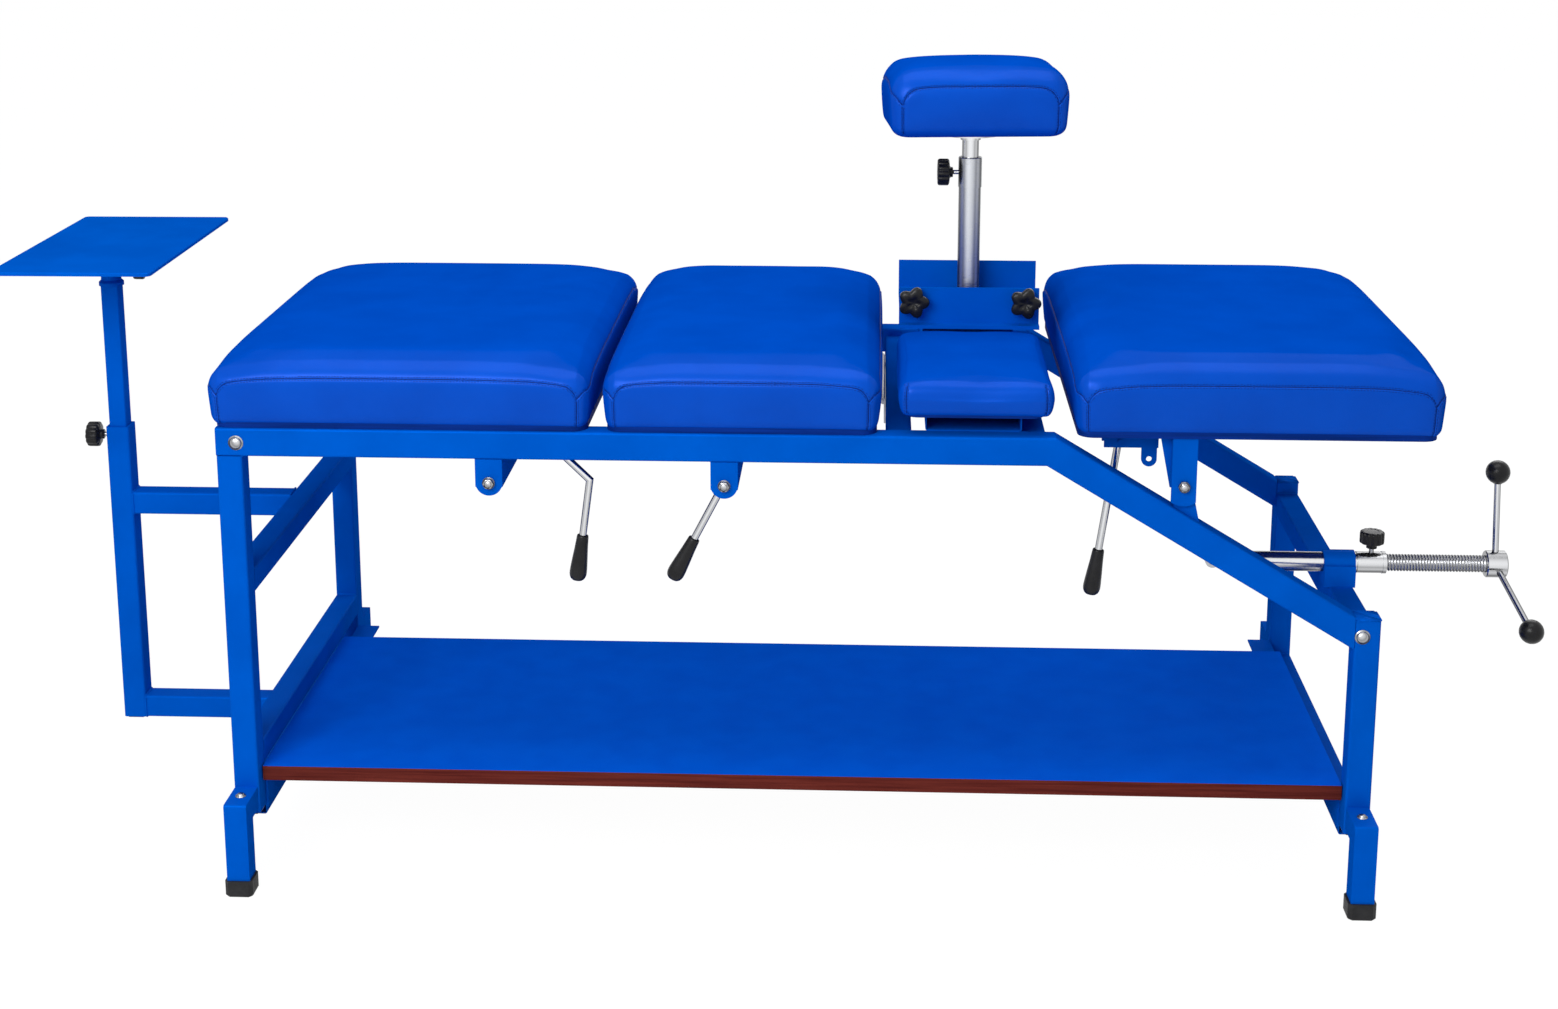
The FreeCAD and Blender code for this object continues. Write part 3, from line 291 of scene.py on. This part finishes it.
def piece(name, mesh, material, body, place=None, smooth=True):
    item = bpy.data.objects.new(name, mesh)
    scene.collection.objects.link(item)
    if place is not None:
        mesh.transform(place)
    if material is not None:
        mesh.materials.append(material)
    if smooth:
        for face in mesh.polygons:
            face.use_smooth = True
    item["body"] = body
    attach(item, body)
    return item


def mesh_of(name, points, faces):
    mesh = bpy.data.meshes.new(name)
    mesh.from_pydata([tuple(p) for p in points], [], faces)
    mesh.update()
    return mesh


def facing(direction, place):
    """A matrix that takes local z to a direction, at a place."""
    return Matrix.Translation(place) @ Vector(direction).to_track_quat("Z", "Y").to_matrix().to_4x4()


def lathe(name, profile, segments=32, radius_at=None):
    """A closed body of revolution about local z; profile is (radius, height) in mm, ends on the axis."""
    points, rings = [], []
    for r, z in profile:
        if r < 1e-6:
            rings.append([len(points)])
            points.append((0, 0, z / 1000))
            continue
        ring = []
        for i in range(segments):
            a = TAU * i / segments
            k = radius_at(a, r, z) if radius_at else r
            ring.append(len(points))
            points.append((k * math.cos(a) / 1000, k * math.sin(a) / 1000, z / 1000))
        rings.append(ring)
    faces = []
    for low, high in zip(rings, rings[1:]):
        n = max(len(low), len(high))
        for i in range(n):
            j = (i + 1) % n
            if len(low) == 1:
                faces.append((low[0], high[j], high[i]))
            elif len(high) == 1:
                faces.append((low[i], low[j], high[0]))
            else:
                faces.append((low[i], low[j], high[j], high[i]))
    return mesh_of(name, points, faces)


# ---- cushions

SEAM = 0.0026


def spread(low, high, marks, cell):
    """Grid lines from low to high through the marks, each mark with a line close on either side."""
    fixed = sorted({low, high} | {m + d for m in marks for d in (-SEAM, 0, SEAM)})
    lines = []
    for a, b in zip(fixed, fixed[1:]):
        n = max(1, round((b - a) / cell))
        lines += [a + (b - a) * i / n for i in range(n)]
    return lines + [high]


def cushion(name, body, node, low, high, place, margin=0.03, top=0.036, bottom=0.006, seam=0.0255,
            corner=0.018, cell=0.0125, drop=0.02, crown=0.004, dome=5, swell=0.006, tuck=0.0065,
            turn=0.024, ring=True, fill=0.85):
    """A padded vinyl cushion: a rounded box swollen by cloth under pressure, with sewn seams.

    All in metres. margin, top and bottom round the sides, the upper and the lower edges. seam is how far the long
    seam lies below the top, corner how far the upright seams stand from the corners, and turn how far the long seam
    curves down to meet them. drop lowers the corners, crown raises the middle, tuck pulls the lower edge in and swell
    caps how far the cloth moves. Without ring the cover is folded at its corners and has no long seam.
    """
    (x0, y0, z0), (x1, y1, z1) = low, high
    seam_z = z1 - seam
    xs = spread(x0, x1, [x0 + corner, x1 - corner], cell)
    ys = spread(y0, y1, [y0 + corner, y1 - corner], cell)
    zs = spread(z0, z1, [seam_z], cell)
    nx, ny, nz = len(xs) - 1, len(ys) - 1, len(zs) - 1
    keys, points = {}, []

    def rounded(x, y, z):
        q = Vector((min(max(x, x0 + margin), x1 - margin), min(max(y, y0 + margin), y1 - margin),
                    min(max(z, z0 + bottom), z1 - top)))
        up = top if z > q.z else bottom
        d = Vector(((x - q.x) / margin, (y - q.y) / margin, (z - q.z) / up))
        if d.length > 1e-9:
            longest = max(abs(c) for c in d)
            d = d.normalized() * longest
        p = q + Vector((d.x * margin, d.y * margin, d.z * up))
        u, v = abs(2 * (p.x - x0) / (x1 - x0) - 1), abs(2 * (p.y - y0) / (y1 - y0) - 1)
        high_up = min(max((p.z - z0) / (z1 - z0), 0), 1)
        # the corners sit lower than the middle, and the sides pull in between top and bottom
        p.z += crown * (1 - u ** 4) * (1 - v ** 4) * high_up ** 2
        p.z -= drop * (0.12 * (u ** 8 + v ** 8) + (u * v) ** dome) * high_up
        pull = tuck * max(0.0, (seam_z - p.z) / (seam_z - z0)) ** 1.4
        p.x -= math.copysign(pull * u ** 12, p.x - (x0 + x1) / 2)
        p.y -= math.copysign(pull * v ** 12, p.y - (y0 + y1) / 2)
        return p

    def dip(i, j):
        """How far the long seam curves down as it nears a front or back panel's upright seams."""
        side = min(ys[j] - y0, y1 - ys[j])
        if i in (0, nx):
            return 0.4 * turn * max(0.0, 1 - side / 0.07)
        run = min(xs[i] - x0, x1 - xs[i]) - corner
        if run < 0:
            return turn * (1 + 0.6 * run / corner)
        return turn - math.sqrt(max(0.0, turn ** 2 - max(0.0, turn - run) ** 2))

    def key(i, j, k):
        if (i, j, k) not in keys:
            keys[(i, j, k)] = len(points)
            z = zs[k]
            if ring and 0 < k < nz:
                z -= dip(i, j) * min((z - z0) / (seam_z - z0), (z1 - z) / (z1 - seam_z))
            points.append(rounded(xs[i], ys[j], z))
        return keys[(i, j, k)]

    faces = []
    for i in range(nx):
        for j in range(ny):
            faces.append([key(i, j, nz), key(i + 1, j, nz), key(i + 1, j + 1, nz), key(i, j + 1, nz)])
            faces.append([key(i, j, 0), key(i, j + 1, 0), key(i + 1, j + 1, 0), key(i + 1, j, 0)])
    for k in range(nz):
        for i in range(nx):
            faces.append([key(i, 0, k), key(i + 1, 0, k), key(i + 1, 0, k + 1), key(i, 0, k + 1)])
            faces.append([key(i, ny, k), key(i, ny, k + 1), key(i + 1, ny, k + 1), key(i + 1, ny, k)])
        for j in range(ny):
            faces.append([key(0, j, k), key(0, j, k + 1), key(0, j + 1, k + 1), key(0, j + 1, k)])
            faces.append([key(nx, j, k), key(nx, j + 1, k), key(nx, j + 1, k + 1), key(nx, j, k + 1)])
    mesh = mesh_of(name, points, faces)
    item = bpy.data.objects.new(name, mesh)
    scene.collection.objects.link(item)

    ks = zs.index(seam_z) if seam_z in zs else min(range(nz + 1), key=lambda k: abs(zs[k] - seam_z))
    ia = min(range(nx + 1), key=lambda i: abs(xs[i] - x0 - corner))
    ib = min(range(nx + 1), key=lambda i: abs(xs[i] - x1 + corner))
    ja = min(range(ny + 1), key=lambda j: abs(ys[j] - y0 - corner))
    jb = min(range(ny + 1), key=lambda j: abs(ys[j] - y1 + corner))
    around = ([(i, 0, ks) for i in range(nx)] + [(nx, j, ks) for j in range(ny)] +
              [(i, ny, ks) for i in range(nx, 0, -1)] + [(0, j, ks) for j in range(ny, 0, -1)])
    high_k = ks if ring else nz
    upright = [[(i, j, k) for k in range(high_k + 1)] for i in (ia, ib) for j in (0, ny)]
    if not ring:
        # the corner seams of a folded cover run on over the top edge
        upright = [line + [(i, j, nz) for j in (range(1, ja + 1) if line[0][1] == 0 else range(ny - 1, jb - 1, -1))]
                   for line, i in zip(upright, (ia, ia, ib, ib))]
    seams = ([(around, True)] if ring else []) + [(line, False) for line in upright]
    sewn = {keys[p] for line, _ in seams for p in line}

    group = item.vertex_groups.new(name="held")
    for index, p in enumerate(points):
        if p.z < z0 + 0.004:
            group.add([index], 1.0, "REPLACE")
        elif index in sewn:
            group.add([index], 0.55, "REPLACE")
    item.modifiers.new("cloth", "CLOTH")
    cloth = item.modifiers["cloth"]
    settings = cloth.settings
    settings.quality = 6
    settings.mass = 0.35
    settings.tension_stiffness = settings.compression_stiffness = 22
    settings.shear_stiffness = 12
    settings.bending_stiffness = 1.2
    settings.use_pressure = True
    settings.uniform_pressure_force = 4.0
    settings.vertex_group_mass = "held"
    settings.effector_weights.gravity = 0
    cloth.point_cache.frame_start, cloth.point_cache.frame_end = 1, 20
    for f in range(1, 21):
        scene.frame_set(f)
    swollen = item.evaluated_get(bpy.context.evaluated_depsgraph_get()).data
    steps = [v.co - p for v, p in zip(swollen.vertices, points)]
    item.modifiers.remove(cloth)
    scene.frame_set(1)
    beside = [[] for _ in points]
    for edge in mesh.edges:
        a, b = edge.vertices
        beside[a].append(b)
        beside[b].append(a)
    for _ in range(4):
        steps = [(step + sum((steps[n] for n in near), Vector())) / (len(near) + 1)
                 for step, near in zip(steps, beside)]
    for vertex, step in zip(mesh.vertices, steps):
        if step.length > 1e-9:
            step *= swell * math.tanh(step.length / swell) / step.length
        vertex.co += step * min(1, max(0, (vertex.co.z - z0 - 0.002) / 0.03))
    item.vertex_groups.clear()

    mesh.update()
    normals = [v.normal.copy() for v in mesh.vertices]
    for index in sewn:
        mesh.vertices[index].co -= normals[index] * 0.003
    lines = [([mesh.vertices[keys[p]].co.copy() for p in line], closed) for line, closed in seams]
    mesh.transform(place)
    subdivide = item.modifiers.new("smooth", "SUBSURF")
    subdivide.levels = subdivide.render_levels = 2
    dense = item.evaluated_get(bpy.context.evaluated_depsgraph_get())
    final = bpy.data.meshes.new_from_object(dense)
    item.modifiers.clear()
    item.data = final
    final.materials.clear()
    final.materials.append(VINYL)
    for face in final.polygons:
        face.use_smooth = True
    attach(item, body)
    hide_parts(node)
    sew(name + "_stitches_and_seam_shade", body, final, [([place @ p for p in line], closed) for line, closed in lines])
    return item


def walk(line, closed, step):
    """Points and directions at even steps along a line of points."""
    points = line + [line[0]] if closed else line
    out, travelled, due = [], 0.0, step / 2
    for a, b in zip(points, points[1:]):
        length = (b - a).length
        while due <= travelled + length and length > 0:
            t = (due - travelled) / length
            out.append((a.lerp(b, t), (b - a) / length))
            due += step
        travelled += length
    return out


def sew(name, body, surface, lines, step=0.0047):
    """A dark cord in every seam as painted shade for the shadow in its crease, and a row of short stitches on each
    side of it, lying on the cover.
    """
    tree = BVHTree.FromPolygons([v.co for v in surface.vertices], [p.vertices for p in surface.polygons])
    points, faces = [], []
    for line, closed in lines:
        # the seam itself: a thin dark cord sunk between the two panels, painted shade for the shadow in the seam's
        # crease
        base, stops = len(points), walk(line, closed, 0.004)
        for place, along in stops:
            hit, normal, _, _ = tree.find_nearest(place)
            across = normal.cross(along).normalized()
            points += [hit + across * (s * 0.0012) + normal * (h * 0.0007)
                       for s, h in ((-1, 0), (0, 1), (1, 0), (0, -1))]
        for k in range(len(stops) - (0 if closed else 1)):
            a, b = base + 4 * k, base + 4 * ((k + 1) % len(stops))
            faces += [(a + e, a + (e + 1) % 4, b + (e + 1) % 4, b + e) for e in range(4)]
        if not closed:
            faces += [(base + 3, base + 2, base + 1, base), tuple(base + 4 * len(stops) - 4 + e for e in range(4))]
    for line, closed in lines:
        for place, along in walk(line, closed, step):
            hit, normal, _, _ = tree.find_nearest(place)
            side = normal.cross(along).normalized()
            for offset in (-0.0031, 0.0031):
                spot, out, _, _ = tree.find_nearest(hit + side * offset)
                base = len(points)
                across = out.cross(along).normalized()
                for t, r in ((-0.5, 0.35), (-0.25, 1), (0.25, 1), (0.5, 0.35)):
                    centre = spot + along * (t * step * 0.72) + out * (0.00012 if abs(t) < 0.4 else -0.0001)
                    for s, h in ((-1, 0), (0, 1), (1, 0), (0, -1)):
                        points.append(centre + across * (s * r * 0.00042) + out * (h * r * 0.00038))
                for q in range(3):
                    for e in range(4):
                        a, b = base + q * 4 + e, base + q * 4 + (e + 1) % 4
                        faces.append((a, b, b + 4, a + 4))
                faces.append((base + 3, base + 2, base + 1, base))
                faces.append((base + 12, base + 13, base + 14, base + 15))
    piece(name, mesh_of(name, points, faces), STITCH_AND_SEAM_SHADE, body)


HERE = Matrix.Identity(4)
PAD_LOW, PAD_TOP = 751.8, 861


def laid(name, body, x0, x1, y0, y1, z0, z1, inset=4.5, **shape):
    """A cushion that covers the CAD's own, a little inside its outline to leave room for the swelling."""
    cushion(name, body, "cushion_" + name.split("_")[0],
            at(x0 + inset, y0 + inset, z0), at(x1 - inset, y1 - inset, z1), HERE, **shape)


laid("foot_cushion", "foot_pad", -20, 588, -10, 762, PAD_LOW, PAD_TOP)
laid("seat_cushion", "seat_pad", 594, 1034, -10, 762, PAD_LOW, PAD_TOP)
laid("head_cushion", "head_pad", 1316, 1888, -10, 762, PAD_LOW + 2, PAD_TOP + 9, seam=0.032)
laid("small_cushion", "bed_frame", 1050, 1296, -4, 354, 779.5, 835, inset=3, margin=0.018, top=0.017,
     bottom=0.007, ring=False, drop=0.005, crown=0.002, swell=0.004, corner=0.011, cell=0.01, fill=0.75)
bolster_turn = Matrix.Translation(at(1173, 406, 0)) @ Matrix.Rotation(math.radians(5), 4, "Z")
cushion("bolster_cushion", "bolster_pad", "bolster", Vector((-0.1445, -0.1005, 1.1605)),
        Vector((0.1525, 0.1005, 1.271)), bolster_turn, margin=0.034, top=0.042, bottom=0.02, seam=0.021,
        corner=0.02, cell=0.009, drop=0.02, crown=0.008, dome=4, swell=0.006, tuck=0.006, turn=0.028, fill=0.9)


# ---- clamping knobs


def flute(count, depth, sharp, low, high):
    def radius(angle, r, z):
        if not low <= z <= high:
            return r
        wave = 0.5 - 0.5 * math.cos(angle * count)
        return r * (1 - depth * wave ** sharp)
    return radius


def stud(name, body, place, direction, length, radius=4.0):
    """A short threaded stud: a cylinder with rounded ridges."""
    profile, z, pitch = [(0, 0), (radius - 0.5, 0)], 0.3, 1.25
    while z < length - pitch:
        profile += [(radius, z + pitch * 0.3), (radius - 0.55, z + pitch * 0.8)]
        z += pitch
    profile += [(radius - 0.3, length), (0, length)]
    piece(name, lathe(name, profile, 20), STEEL, body, facing(direction, place))


def knob(node, body, place, direction, stud_long, head, segments, shape):
    """A plastic head on a threaded stud, in place of the CAD's own knob."""
    mesh = lathe(node + "_head", head, segments, shape)
    seat = place + Vector(direction) * (stud_long / 1000)
    item = piece(node + "_head", mesh, BLACK, body, facing(direction, seat))
    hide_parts(node)
    stud(node + "_stud", body, place, direction, stud_long)


def fluted_knob(node, body, place, direction, stud_long, neck, radius, high):
    end = neck + high
    head = [(0, 0), (7.6, 0), (8.6, 0.6), (8.6, neck * 0.6), (10, neck), (radius - 3, neck + 1.2),
            (radius - 0.6, neck + 2.6), (radius, neck + 4.5), (radius, end - 4), (radius - 0.7, end - 1.8),
            (radius - 2.6, end - 0.4), (radius * 0.62, end), (radius * 0.55, end - 0.8),
            (radius * 0.5, end - 0.9), (0, end - 0.9)]
    knob(node, body, place, direction, stud_long, head, 144, flute(12, 0.085, 2.2, neck + 1, end - 0.3))


def lobed_knob(node, body, place, direction, stud_long):
    head = [(0, 0), (8.6, 0), (9.4, 0.8), (9.4, 5), (14, 7), (24, 8.4), (26.2, 10.4), (26.6, 13), (26.4, 17.5),
            (25, 20), (22, 21.8), (12, 22.6), (9, 21.6), (8.4, 20.6), (0, 20.6)]

    def lobes(angle, r, z):
        if r < 12.5 and z < 20:
            return r
        share = 0.5 + 0.5 * math.cos(angle * 5)
        return r * (0.73 + 0.27 * share ** 0.7)
    knob(node, body, place, direction, stud_long, head, 150, lobes)


LEFT, RIGHT, FRONT, BACK, ABOVE, BELOW = (-1, 0, 0), (1, 0, 0), (0, -1, 0), (0, 1, 0), (0, 0, 1), (0, 0, -1)
fluted_knob("mast_knob", "mast_clamp", at(-315.8, 440, 610), LEFT, 14, 6, 22, 22)
fluted_knob("tray_knob", "tray_clamp", at(-288.6, 440, 904), RIGHT, 22, 6, 16, 20)
fluted_knob("post_knob", "post_clamp", at(1158.6, 406, 1091), LEFT, 14, 5, 22.5, 21)
fluted_knob("screw_knob", "screw_clamp", at(1830, 230, 494.4), ABOVE, 10, 7, 20, 22)
lobed_knob("star_knob_left", "star_clamp_left", at(1081, 352.7, 884), FRONT, 5)
lobed_knob("star_knob_right", "star_clamp_right", at(1265, 352.7, 884), FRONT, 5)


# ---- lever grips and handle balls


def grip(name, body, place, direction):
    profile = [(0, 0.3), (6.15, 0.3), (6.15, -39.4), (7.6, -40), (8.8, -39.2), (9.3, -37), (10.4, -20), (12.2, 0),
               (13.4, 15), (13.7, 21), (13.6, 25), (12.8, 29), (11.2, 32.3), (8.6, 34.7), (5, 35.8), (0, 36)]
    item = piece(name + "_moulding", lathe(name, profile, 40), GRIP, body, facing(direction, place))
    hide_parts(name)


grip("grip_foot", "foot_lever", at(555, 60, 526), (-18, 0, -130))
grip("grip_seat", "seat_lever", at(721.5, 22, 540), (-66.5, 0, -128))
grip("grip_head", "head_lever", at(1367, 90, 504.3), (-32, 0, -222))

hub = at(2030.5, 230, 480)
for label, lean in (("up", (0, -2)), ("side", (114, 9))):
    about_screw, off_square = (Matrix.Rotation(math.radians(a), 3, axis) for a, axis in zip(lean, "XY"))
    out = about_screw @ off_square @ Vector((0, 0, 1))
    arc = [(19.4 * math.sin(a), 156 - 19.4 * math.cos(a)) for a in (math.radians(24 + 13 * k) for k in range(12))]
    profile = [(0, 148), (5.3, 148), (5.3, 137.6), (7.4, 137.6)] + arc + [(0, 175.4)]
    piece("handle_ball_" + label, lathe("ball", profile, 48), BLACK, "traction_screw", facing(out, hub))
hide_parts("handle_balls")


# ---- traction screw thread


def threaded_rod(name, body, node, start, length, radius, pitch, depth, segments=40, rows=8):
    points, faces = [], []
    count = int(length / pitch * rows)
    for k in range(count + 1):
        along = length * k / count
        ease = min(1, along / pitch, (length - along) / pitch)
        for i in range(segments):
            phase = (along / pitch - i / segments) % 1
            wave = min(1, max(0, 2.2 * abs(2 * phase - 1) - 0.5))
            r = radius - depth * ease * (1 - wave)
            a = TAU * i / segments
            points.append((along / 1000, r * math.cos(a) / 1000, r * math.sin(a) / 1000))
    for k in range(count):
        for i in range(segments):
            j = (i + 1) % segments
            faces.append((k * segments + i, k * segments + j, (k + 1) * segments + j, (k + 1) * segments + i))
    faces.append(tuple(range(segments))[::-1])
    faces.append(tuple(count * segments + i for i in range(segments)))
    item = piece(name, mesh_of(name, points, faces), STEEL, body, Matrix.Translation(start))
    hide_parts(node)


threaded_rod("screw_thread", "traction_screw", "screw_rod", at(1690.3, 230, 480), 323.7, 14, 5, 1.5)


# ---- fasteners, plugs and welds


def dome_bolt(name, body, place, direction, radius=9.5, high=5.0):
    rim = [(0, -0.4), (radius + 2.2, -0.4), (radius + 2.4, 0.3), (radius + 2.2, 1.0), (radius, 1.0), (radius, 1.9)]
    dome = [(radius * math.cos(t), 1.9 + high * math.sin(t)) for t in (0.2, 0.5, 0.8, 1.1, 1.35)]
    mesh = lathe(name, rim + dome + [(0, 1.9 + high)], 36)
    piece(name, mesh, STEEL, body, facing(direction, place))


for label, x, z in (("foot", 32, 727), ("head", 1772, 438)):
    dome_bolt("frame_bolt_%s_front" % label, "bed_frame", at(x, 0, z), FRONT)
    dome_bolt("frame_bolt_%s_back" % label, "bed_frame", at(x, 750, z), BACK)


def nut_on(name, body, place, direction, across=15.0, high=6.0):
    """A hexagon nut on a washer, with a chamfered top and the rounded shaft end standing out."""
    side = across / math.cos(math.pi / 6) / 2

    def hexagon(angle, r, z):
        if r < across / 2 - 0.2 or z < 1.2:
            return r
        local = (angle % (TAU / 6)) - TAU / 12
        return min(r, across / 2 / math.cos(local))
    profile = [(0, -0.3), (across / 2 + 2, -0.3), (across / 2 + 2.2, 1.1), (across / 2 - 0.3, 1.15), (side, 1.3),
               (side, high), (across / 2 - 0.1, high + 0.9), (5, high + 1), (5, high + 1.6), (4.2, high + 2.2),
               (0, high + 2.4)]
    piece(name, lathe(name, profile, 48, hexagon), STEEL, body, facing(direction, place))


for label, x in (("foot", 424), ("seat", 788)):
    nut_on("stay_nut_%s_front" % label, "bed_frame", at(x, -2.5, 668), FRONT)
    nut_on("stay_nut_%s_back" % label, "bed_frame", at(x, 752.5, 668), BACK)
for y, direction, side in ((2, FRONT, "front"), (748, BACK, "back")):
    nut_on("pivot_cap_" + side, "bed_frame", at(1491, y, 674), direction, 13, 3)


def bead(name, a, b, radius=2.4, ripple=5.0):
    """A weld bead: a low rippled rope between two points."""
    start, end = at(*a), at(*b)
    axis = end - start
    length = axis.length
    count = max(6, int(length * 1000 / ripple) * 3)
    profile = []
    for k in range(count + 1):
        t = k / count
        swell = radius * (0.86 + 0.14 * math.sin(TAU * t * length * 1000 / ripple))
        taper = min(1, 0.35 + 3 * min(t, 1 - t) * length / 0.012)
        profile.append((swell * taper, t * length * 1000))
    mesh = lathe(name, [(0, -0.4)] + profile + [(0, length * 1000 + 0.4)], 10)
    piece(name, mesh, BLUE, "bed_frame", facing(axis.normalized(), start))


WELDS = []
for y0, y1 in ((2, 38), (712, 748)):
    WELDS += [((40, y0, 705), (40, y1, 705))]
    for x0, x1 in ((404, 444), (768, 808)):
        WELDS += [((x0, y0, 705), (x0, y1, 705)), ((x1, y0, 705), (x1, y1, 705))]
for z in (470, 510, 90, 130):
    WELDS += [((-280, 421, z), (-280, 459, z))]
    WELDS += [((-0.5, 421, z), (-0.5, 459, z))]
for z0, z1 in ((471, 509), (91, 129)):
    WELDS += [((-280, 420, z0), (-280, 420, z1)), ((-0.5, 420, z0), (-0.5, 420, z1))]
for z in (510, 470, 220, 130):
    WELDS += [((2, 40, z), (38, 40, z)), ((2, 710, z), (38, 710, z))]
for z in (444, 404, 130):
    WELDS += [((1762, 40, z), (1798, 40, z)), ((1762, 710, z), (1798, 710, z))]
for number, (a, b) in enumerate(WELDS):
    bead("weld_%02d" % number, a, b)


def plug(name, x, y, z, wide, direction, thick=3.0, material=None, body="bed_frame"):
    """A square tube plug: a low pillow with rounded edges."""
    half = wide / 2000
    mesh = bpy.data.meshes.new(name)
    bm = bmesh.new()
    bmesh.ops.create_cube(bm, size=1)
    bmesh.ops.scale(bm, vec=(2 * half, 2 * half, thick / 1000), verts=bm.verts)
    bmesh.ops.bevel(bm, geom=[e for e in bm.edges if abs(e.verts[0].co.z - e.verts[1].co.z) > 1e-6],
                    offset=half * 0.16, segments=4, affect="EDGES")
    bmesh.ops.bevel(bm, geom=[e for e in bm.edges if e.verts[0].co.z > 0 and e.verts[1].co.z > 0],
                    offset=thick / 1000 * 0.4, segments=3, affect="EDGES")
    bm.to_mesh(mesh)
    bm.free()
    piece(name, mesh, material or BLACK, body, facing(direction, at(x, y, z)))


plug("plug_mast", -300, 440, 89.5, 36, BELOW, 4)
for label, x in (("foot", 20), ("head", 1780)):
    for side, y in (("front", 20), ("back", 730)):
        plug("plug_leg_%s_%s" % (label, side), x, y, 109, 39, BELOW, 3)
for side, y in (("front", 20), ("back", 730)):
    plug("cap_head_" + side, 1780, y, 465.2, 42, ABOVE, 3.4, BLUE)

for label, x in (("foot", 20), ("head", 1780)):
    for side, y in (("front", -34), ("back", 784)):
        dome_bolt("stand_screw_%s_%s" % (label, side), "bed_frame", at(x, y, 155), ABOVE, 6, 3.4)


# ---- stage and light


def seen(tree):
    """1 for what the camera and its reflections see, 0 for the light that reaches the object."""
    path = tree.nodes.new("ShaderNodeLightPath")
    either = tree.nodes.new("ShaderNodeMath")
    either.operation = "MAXIMUM"
    tree.links.new(path.outputs["Is Camera Ray"], either.inputs[0])
    tree.links.new(path.outputs["Is Glossy Ray"], either.inputs[1])
    return either.outputs[0]


def stage_material(name, shade):
    material = bpy.data.materials.new(name)
    material.use_nodes = True
    tree = material.node_tree
    tree.nodes.clear()
    out = tree.nodes.new("ShaderNodeOutputMaterial")
    diffuse = tree.nodes.new("ShaderNodeBsdfDiffuse")
    diffuse.inputs["Color"].default_value = (0.86, 0.86, 0.87, 1)
    glow = tree.nodes.new("ShaderNodeEmission")
    glow.inputs["Strength"].default_value = 1.05
    mix = tree.nodes.new("ShaderNodeMixShader")
    scale = tree.nodes.new("ShaderNodeMath")
    scale.operation = "MULTIPLY"
    scale.inputs[1].default_value = shade
    tree.links.new(seen(tree), scale.inputs[0])
    tree.links.new(scale.outputs[0], mix.inputs[0])
    tree.links.new(diffuse.outputs[0], mix.inputs[1])
    tree.links.new(glow.outputs[0], mix.inputs[2])
    tree.links.new(mix.outputs[0], out.inputs["Surface"])
    return material


floor_mesh = bpy.data.meshes.new("floor")
bm = bmesh.new()
bmesh.ops.create_grid(bm, x_segments=1, y_segments=1, size=14)
bm.to_mesh(floor_mesh)
bm.free()
floor = bpy.data.objects.new("floor", floor_mesh)
scene.collection.objects.link(floor)
floor_mesh.materials.append(stage_material("floor", 0.93))

world = bpy.data.worlds.new("studio")
scene.world = world
world.use_nodes = True
tree = world.node_tree
tree.nodes.clear()
out = tree.nodes.new("ShaderNodeOutputWorld")
soft = tree.nodes.new("ShaderNodeBackground")
soft.inputs["Color"].default_value = (0.93, 0.96, 1, 1)
soft.inputs["Strength"].default_value = 0.42
white = tree.nodes.new("ShaderNodeBackground")
white.inputs["Color"].default_value = (1, 1, 1, 1)
white.inputs["Strength"].default_value = 1.0
mix = tree.nodes.new("ShaderNodeMixShader")
tree.links.new(seen(tree), mix.inputs[0])
tree.links.new(soft.outputs[0], mix.inputs[1])
tree.links.new(white.outputs[0], mix.inputs[2])
tree.links.new(mix.outputs[0], out.inputs["Surface"])


def lamp(name, place, aim, size, power, colour=(1, 1, 1)):
    light = bpy.data.lights.new(name, "AREA")
    light.shape = "RECTANGLE"
    light.size, light.size_y = size
    light.energy = power
    light.color = colour
    item = bpy.data.objects.new(name, light)
    scene.collection.objects.link(item)
    item.matrix_world = Matrix.Translation(Vector(place)) @ (
        Vector(aim) - Vector(place)).to_track_quat("-Z", "Y").to_matrix().to_4x4()


lamp("key", (-1.3, -3.4, 2.6), (0, 0, 0.6), (2.2, 1.6), 99)
lamp("top", (0.1, -0.6, 3.6), (0, 0.1, 0.5), (3.4, 1.6), 41)
lamp("rim", (1.8, 2.8, 2.6), (0, 0, 0.7), (2.4, 1.4), 35)

scene.view_settings.view_transform = "Standard"
